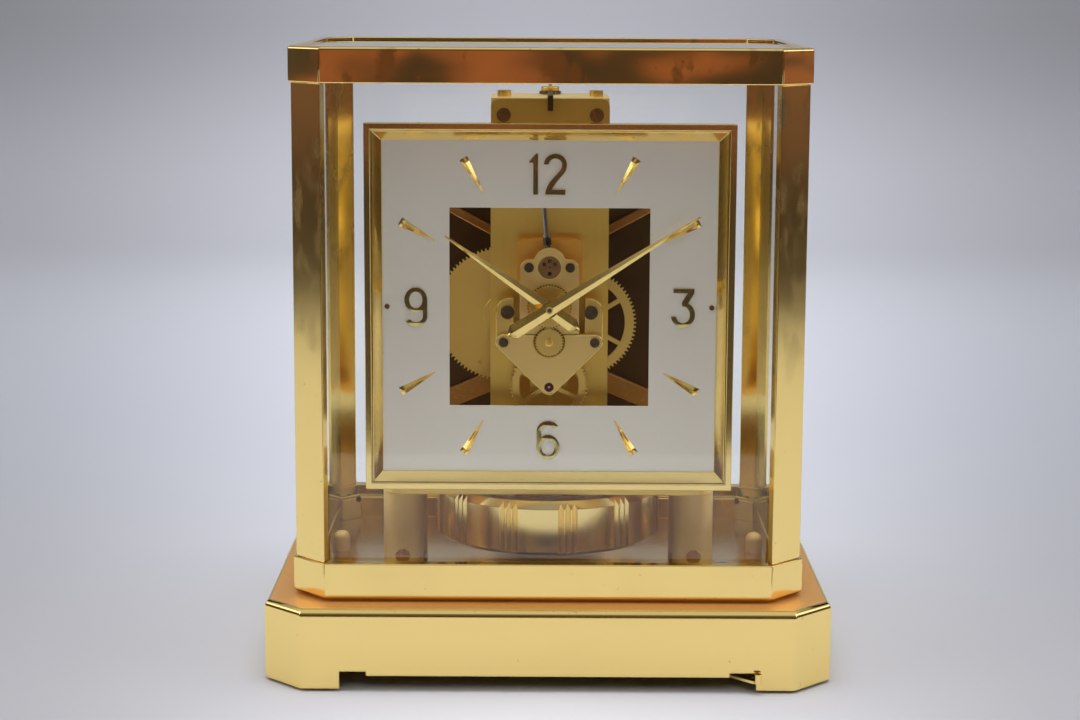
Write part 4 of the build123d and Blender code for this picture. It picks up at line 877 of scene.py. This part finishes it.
class CLOCK_OT_dial(Operator):
    """Finishes the dial, its frame and markers, and sets the four numbers on it"""

    bl_idname = "clock.dial"
    bl_label = "Dial"

    def execute(self, context):
        sizes = context.scene.clock_sizes
        dress(context, "dial_frame", "bright_gold", "polished_gold", sizes.frame_edge)
        dress(context, "dial_plate", "silvered", "dial_white", sizes.plate_edge * 0.5)
        dress(context, "hour_markers", "bright_gold", "polished_gold", sizes.hand_edge, FACETS)
        relief, edge = sizes.numeral_relief / MM, sizes.numeral_edge / MM
        # Where the middle of each number is, as x and z in millimetres
        numbers = {(-0.76, 183.6): outline_one() + outline_two(), (48.65, 135.0): outline_three(),
                   (-0.25, 85.8): outline_six(), (-48.6, 135.0): half_turned(outline_six())}
        curve = bpy.data.curves.new("numbers", "CURVE")
        curve.dimensions = "2D"
        curve.fill_mode = "BOTH"
        curve.extrude = relief / 2 - edge
        curve.bevel_depth = edge
        curve.bevel_resolution = 2
        curve.offset = -edge
        for (x, z), loops in numbers.items():
            for loop in loops:
                spline = curve.splines.new("POLY")
                spline.points.add(len(loop) - 1)
                for point, (u, v) in zip(spline.points, loop):
                    point.co = (x + u, z + v, 0.0, 1.0)
                spline.use_cyclic_u = True
        flat = link(bpy.data.objects.new("numbers_drawn", curve))
        graph = bpy.context.evaluated_depsgraph_get()
        mesh = bpy.data.meshes.new_from_object(flat.evaluated_get(graph), depsgraph=graph)
        bpy.data.objects.remove(flat)
        stand = Matrix.Translation((0.0, dial_face - sizes.numeral_relief / 2, 0.0))
        mesh.transform(stand @ Matrix.Rotation(math.radians(90), 4, "X") @ Matrix.Scale(MM, 4))
        shape = bmesh.new()
        shape.from_mesh(mesh)
        bmesh.ops.remove_doubles(shape, verts=shape.verts, dist=MICRON)
        bmesh.ops.recalc_face_normals(shape, faces=shape.faces)
        shape.to_mesh(mesh)
        shape.free()
        mesh.shade_smooth()
        mesh.set_sharp_from_angle(angle=math.radians(28))
        mesh.materials.clear()
        mesh.materials.append(wanted("number_gold", context))
        numerals = link(bpy.data.objects.new("dial_numbers", mesh))
        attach(numerals, nodes["dial_plate"]["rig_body"])
        return {"FINISHED"}


class CLOCK_OT_hands(Finisher, Operator):
    """Finishes the two hands and their nut"""

    bl_idname = "clock.hands"
    bl_label = "Hands"

    def rows(self, sizes):
        yield "hour_hand", "bright_gold", "polished_gold", sizes.hand_edge, FACETS
        yield "minute_hand", "bright_gold", "polished_gold", sizes.hand_edge, FACETS
        yield "hand_nut", "satin_gold", "satin_gold", sizes.wheel_edge


class CLOCK_OT_pendulum(Finisher, Operator):
    """Finishes the pendulum, its wire, head and regulator"""

    bl_idname = "clock.pendulum"
    bl_label = "Pendulum"

    def rows(self, sizes):
        yield "pendulum_ring", "ring_gold", "polished_gold", sizes.ring_edge, FLUTES
        yield "pendulum_spider", "satin_gold", "satin_gold", sizes.plate_edge
        yield "pendulum_rod", "steel", "steel", sizes.wheel_edge
        yield "suspension_wire", "steel", "steel"
        yield "suspension_head", "satin_gold", "satin_gold", sizes.wheel_edge
        yield "regulator_lever", "dark_screw", "dark_screw", sizes.wheel_edge


class CLOCK_OT_drum(Finisher, Operator):
    """Finishes the winding drum, its bellows and the spider that carries it"""

    bl_idname = "clock.drum"
    bl_label = "Winding drum"

    def rows(self, sizes):
        edge = sizes.plate_edge
        yield "bellows_housing", "drum", "brushed_brass", edge
        yield "bellows_cover", "turned_drum", "brushed_brass", edge
        yield "bellows_capsule", "drum", "drum_metal"
        yield "bellows_spider", "spider_bronze", "satin_gold", edge * 3.5
        yield "bellows_spacers", "brushed_brass", "brushed_brass", edge * 0.5


class CLOCK_OT_small_screws(Operator):
    """Sets the slotted screws of the dial, of the lower frame's corners and of the drum's cover"""

    bl_idname = "clock.small_screws"
    bl_label = "Small screws"

    def execute(self, context):
        sizes = context.scene.clock_sizes
        tree = slotted_screws("slotted screws", wanted("copper_screw", context))
        x, z = DIAL_SCREW_AT
        dial = [((side * x, dial_face, z), FORWARD, 0.6 + side) for side in (-1, 1)]
        x, y, z = CORNER_SCREW_AT
        half = math.sqrt(0.5)
        corner = [((sx * x, sy * y, z), (-sx * half, -sy * half, 0.0), 0.4 * sx)
                  for sx in (-1, 1) for sy in (-1, 1)]
        reach = sizes.drum_screw_share * (cover_high.x - cover_low.x) / 2
        drum = [((x, cover_high.y, z), (0.0, 1.0, 0.0), 0.9 * k)
                for k, (x, z) in enumerate(arc(drum_axis, (reach, reach), 30, 330, 5))]
        groups = (("dial_screws", "dial_plate", dial, sizes.dial_screw),
                  ("frame_corner_screws", "lower_frame", corner, sizes.corner_screw),
                  ("drum_screws", "bellows_cover", drum, sizes.drum_screw))
        for name, carrier, places, radius in groups:
            screws = points_piece(name, places)
            grow(screws, tree, {"Radius": radius, "Relief": sizes.screw_relief})
            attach(screws, nodes[carrier]["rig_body"])
        return {"FINISHED"}


class CLOCK_OT_stones(Operator):
    """Sets the red stones in the holes of the pallet setting"""

    bl_idname = "clock.stones"
    bl_label = "Stones"

    def execute(self, context):
        sizes = context.scene.clock_sizes
        tree = set_stones("domed stones", wanted("red_stone", context))
        x, z = wheel_axis["pallet"]
        places = [((x + STONE_CIRCLE * math.cos(way), bridge_face + STONE_DEPTH,
                    z + STONE_CIRCLE * math.sin(way)), FORWARD, 0.0)
                  for way in map(math.radians, STONE_ANGLES)]
        stones = points_piece("setting_stones", places)
        grow(stones, tree, {"Radius": sizes.stone, "Relief": 0.8})
        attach(stones, nodes["jewel_settings"]["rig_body"])
        return {"FINISHED"}


class CLOCK_OT_stage(Operator):
    """Sets the paper sweep, the lamps, the light of the room and the camera"""

    bl_idname = "clock.stage"
    bl_label = "Studio"

    def execute(self, context):
        context.scene.view_settings.view_transform = "Standard"
        self.sweep(context)
        self.room(context)
        self.lamps(context)
        self.camera(context)
        return {"FINISHED"}

    def sweep(self, context):
        """A floor that curves up into a wall, far behind the clock. Polish sees it end at the edges
        of a table, and the camera sees painted shade on it to the sides of the photograph's
        viewpoint and painted light far behind."""
        tint = context.scene.clock_studio.floor[:]
        front, bend, curve, top, half = -2.2, 1.3, 0.7, 1.9, 2.4
        rows, columns = 40, 25
        run = [(front + (bend - front) * k / rows, 0.0) for k in range(rows + 1)]
        run += [(bend + curve * math.sin(a), curve - curve * math.cos(a))
                for a in (math.radians(4 * k) for k in range(1, 23))]
        run.append((bend + curve, top))
        width = [-half + 2 * half * k / (columns - 1) for k in range(columns)]
        starts = [r * columns + c for r in range(len(run) - 1) for c in range(columns - 1)]
        mesh = bpy.data.meshes.new("paper_sweep")
        mesh.from_pydata([(x, y, z) for y, z in run for x in width], [],
                         [(s, s + 1, s + columns + 1, s + columns) for s in starts])
        mesh.shade_smooth()
        bench = finish("paper_sweep", tint)
        x, y, z = bench.axes(bench.place())
        glossy, camera_ray = (bench.node("ShaderNodeLightPath", output="Is %s Ray" % kind)
                              for kind in ("Glossy", "Camera"))
        aside = bench.node("ShaderNodeMath", {"operation": "ABSOLUTE"}, {0: x})
        table = bench.rise(y, *TABLE_FRONT) * (1.0 - bench.rise(aside, *TABLE_SIDE))
        fibre = bench.noise(300.0, detail=2.0)
        paper = bench.blend(fibre * 0.06, tint, toned(tint, 0.9))
        # Past half a metre from the viewpoint it is the distance itself, and nearer it grows again
        ahead = y - VIEWPOINT[1]
        away = y.sum("MAXIMUM", ahead, 1.0 - ahead)
        # Painted shade and light, seen by the camera alone: darker to the sides of the viewpoint,
        # brighter far off, and a painted cast that turns cooler with distance
        shade = 1.0 - bench.rise(y.sum("DIVIDE", aside, away), 0.0, 0.27) * 0.45
        far_painted_light = bench.rise(y, 0.1, 1.1) * (1.0 - bench.rise(z, 0.03, 0.22) * 0.8)
        shade = shade * (1.0 + far_painted_light * 0.55)
        near_cast, far_cast = (1.02, 1.015, 1.05), (0.935, 0.975, 1.07)
        cast = bench.blend(bench.rise(y, -0.3, 0.5), near_cast, far_cast)
        lens = bench.blend(1.0, cast, shade, "MULTIPLY")
        paper = bench.blend(camera_ray, paper, lens, "MULTIPLY")
        # Painted reflection: polish sees the paper a little darker
        paper = bench.blend(1.0, paper, 1.0 - glossy * 0.08, "MULTIPLY")
        seen = bench.blend(glossy * (1.0 - table), paper, context.scene.clock_studio.room[:])
        mesh.materials.append(close(bench, bench.node("ShaderNodeBsdfPrincipled", None, {
            "Base Color": seen, "Roughness": 0.7, "Specular IOR Level": 0.2})))
        link(bpy.data.objects.new("paper_sweep", mesh))

    def room(self, context):
        """Light from all round: pale behind, a soft ceiling, and a dark room in front and at the
        sides. The camera sees one plain colour in its place."""
        studio = context.scene.clock_studio
        world = bpy.data.worlds.new("studio_room")
        world.use_nodes = True
        world.node_tree.nodes.clear()
        context.scene.world = world
        bench = Bench(world.node_tree)
        way = bench.node("ShaderNodeTexCoord", output="Generated")
        _, y, z = bench.axes(way)
        ceiling = bench.rise(z - y * 0.25, 0.72, 0.98)
        behind = bench.rise(y, 0.05, 0.45)
        patches = bench.noise(13.0, (1.0, 1.0, 4.0), 2.0, way)
        warm = bench.rise(patches, 0.50, 0.54) * bench.rise(0.0 - z, -0.07, -0.02)
        dark = bench.blend(warm, studio.room[:], studio.ember[:])
        dark = bench.blend(bench.rise(z, 0.10, 0.42), dark, studio.dusk[:])
        walls = bench.blend(behind, dark, studio.wall[:])
        seen = bench.blend(ceiling, walls, studio.ceiling[:])
        camera_ray = bench.node("ShaderNodeLightPath", output="Is Camera Ray")
        seen = bench.blend(camera_ray, seen, studio.backdrop[:])
        light = bench.node("ShaderNodeBackground", None, {"Color": seen})
        bench.node("ShaderNodeOutputWorld", None, {"Surface": light})

    def lamps(self, context):
        """A broad lamp above, a soft one on each side and a weak one in front."""
        studio = context.scene.clock_studio
        aim = Vector((0.0, 0.0, 0.1))
        for name, spot, size, power in (
                ("overhead", (0.0, -0.05, 1.45), (0.9, 0.7), studio.overhead),
                ("left", (-1.25, -0.25, 0.90), (1.2, 0.8), studio.side),
                ("right", (1.25, -0.25, 0.90), (1.2, 0.8), studio.side),
                ("front", (0.0, -1.2, 0.95), (0.8, 0.5), studio.front)):
            lamp = bpy.data.lights.new("lamp_" + name, "AREA")
            lamp.shape = "RECTANGLE"
            lamp.size, lamp.size_y = size
            lamp.energy = power
            holder = link(bpy.data.objects.new("lamp_" + name, lamp))
            holder.visible_camera = False
            holder.visible_glossy = name in ("left", "right")
            holder.location = spot
            holder.rotation_euler = (aim - Vector(spot)).to_track_quat("-Z", "Y").to_euler()

    def camera(self, context):
        """The photograph's viewpoint."""
        yaw, pitch, roll = map(math.radians, VIEW_ANGLES)
        turn = (Matrix.Rotation(-yaw, 4, "Z") @ Matrix.Rotation(math.pi / 2 - pitch, 4, "X")
                @ Matrix.Rotation(roll, 4, "Z"))
        lens = bpy.data.cameras.new("viewpoint")
        lens.sensor_fit = "HORIZONTAL"
        lens.sensor_width = SENSOR
        lens.lens = SENSOR * FOCAL_PIXELS / PHOTO_PIXELS
        lens.clip_start = 0.05
        lens.clip_end = 60.0
        holder = link(bpy.data.objects.new("viewpoint", lens))
        holder.matrix_world = Matrix.Translation(VIEWPOINT) @ turn
        context.scene.camera = holder


class CLOCK_PT_panel(Panel):
    """Lists the clock's pieces, sizes and colours"""

    bl_idname = "CLOCK_PT_panel"
    bl_label = "Table clock"
    bl_space_type = "VIEW_3D"
    bl_region_type = "UI"
    bl_category = "Clock"

    def draw(self, context):
        layout = self.layout
        for operator in OPERATORS:
            layout.operator(operator.bl_idname)
        scene = context.scene
        for group in (scene.clock_sizes, scene.clock_colours, scene.clock_studio):
            box = layout.box()
            for name in group.__annotations__:
                box.prop(group, name)


OPERATORS = (CLOCK_OT_stage, CLOCK_OT_case, CLOCK_OT_glass, CLOCK_OT_base_fittings, CLOCK_OT_plates,
             CLOCK_OT_train, CLOCK_OT_dial, CLOCK_OT_hands, CLOCK_OT_pendulum, CLOCK_OT_drum,
             CLOCK_OT_small_screws, CLOCK_OT_stones)
GROUPS = (ClockSizes, ClockColours, ClockStudio)


def register():
    """Adds the classes and the scene's settings."""
    for kind in (*GROUPS, *OPERATORS, CLOCK_PT_panel):
        bpy.utils.register_class(kind)
    bpy.types.Scene.clock_sizes = PointerProperty(type=ClockSizes)
    bpy.types.Scene.clock_colours = PointerProperty(type=ClockColours)
    bpy.types.Scene.clock_studio = PointerProperty(type=ClockStudio)


def unregister():
    """Takes them away again."""
    del bpy.types.Scene.clock_sizes, bpy.types.Scene.clock_colours, bpy.types.Scene.clock_studio
    for kind in reversed((*GROUPS, *OPERATORS, CLOCK_PT_panel)):
        bpy.utils.unregister_class(kind)


def main():
    """Makes the whole scene."""
    register()
    for operator in OPERATORS:
        group, name = operator.bl_idname.split(".")
        getattr(getattr(bpy.ops, group), name)()


if __name__ == "__main__":
    main()
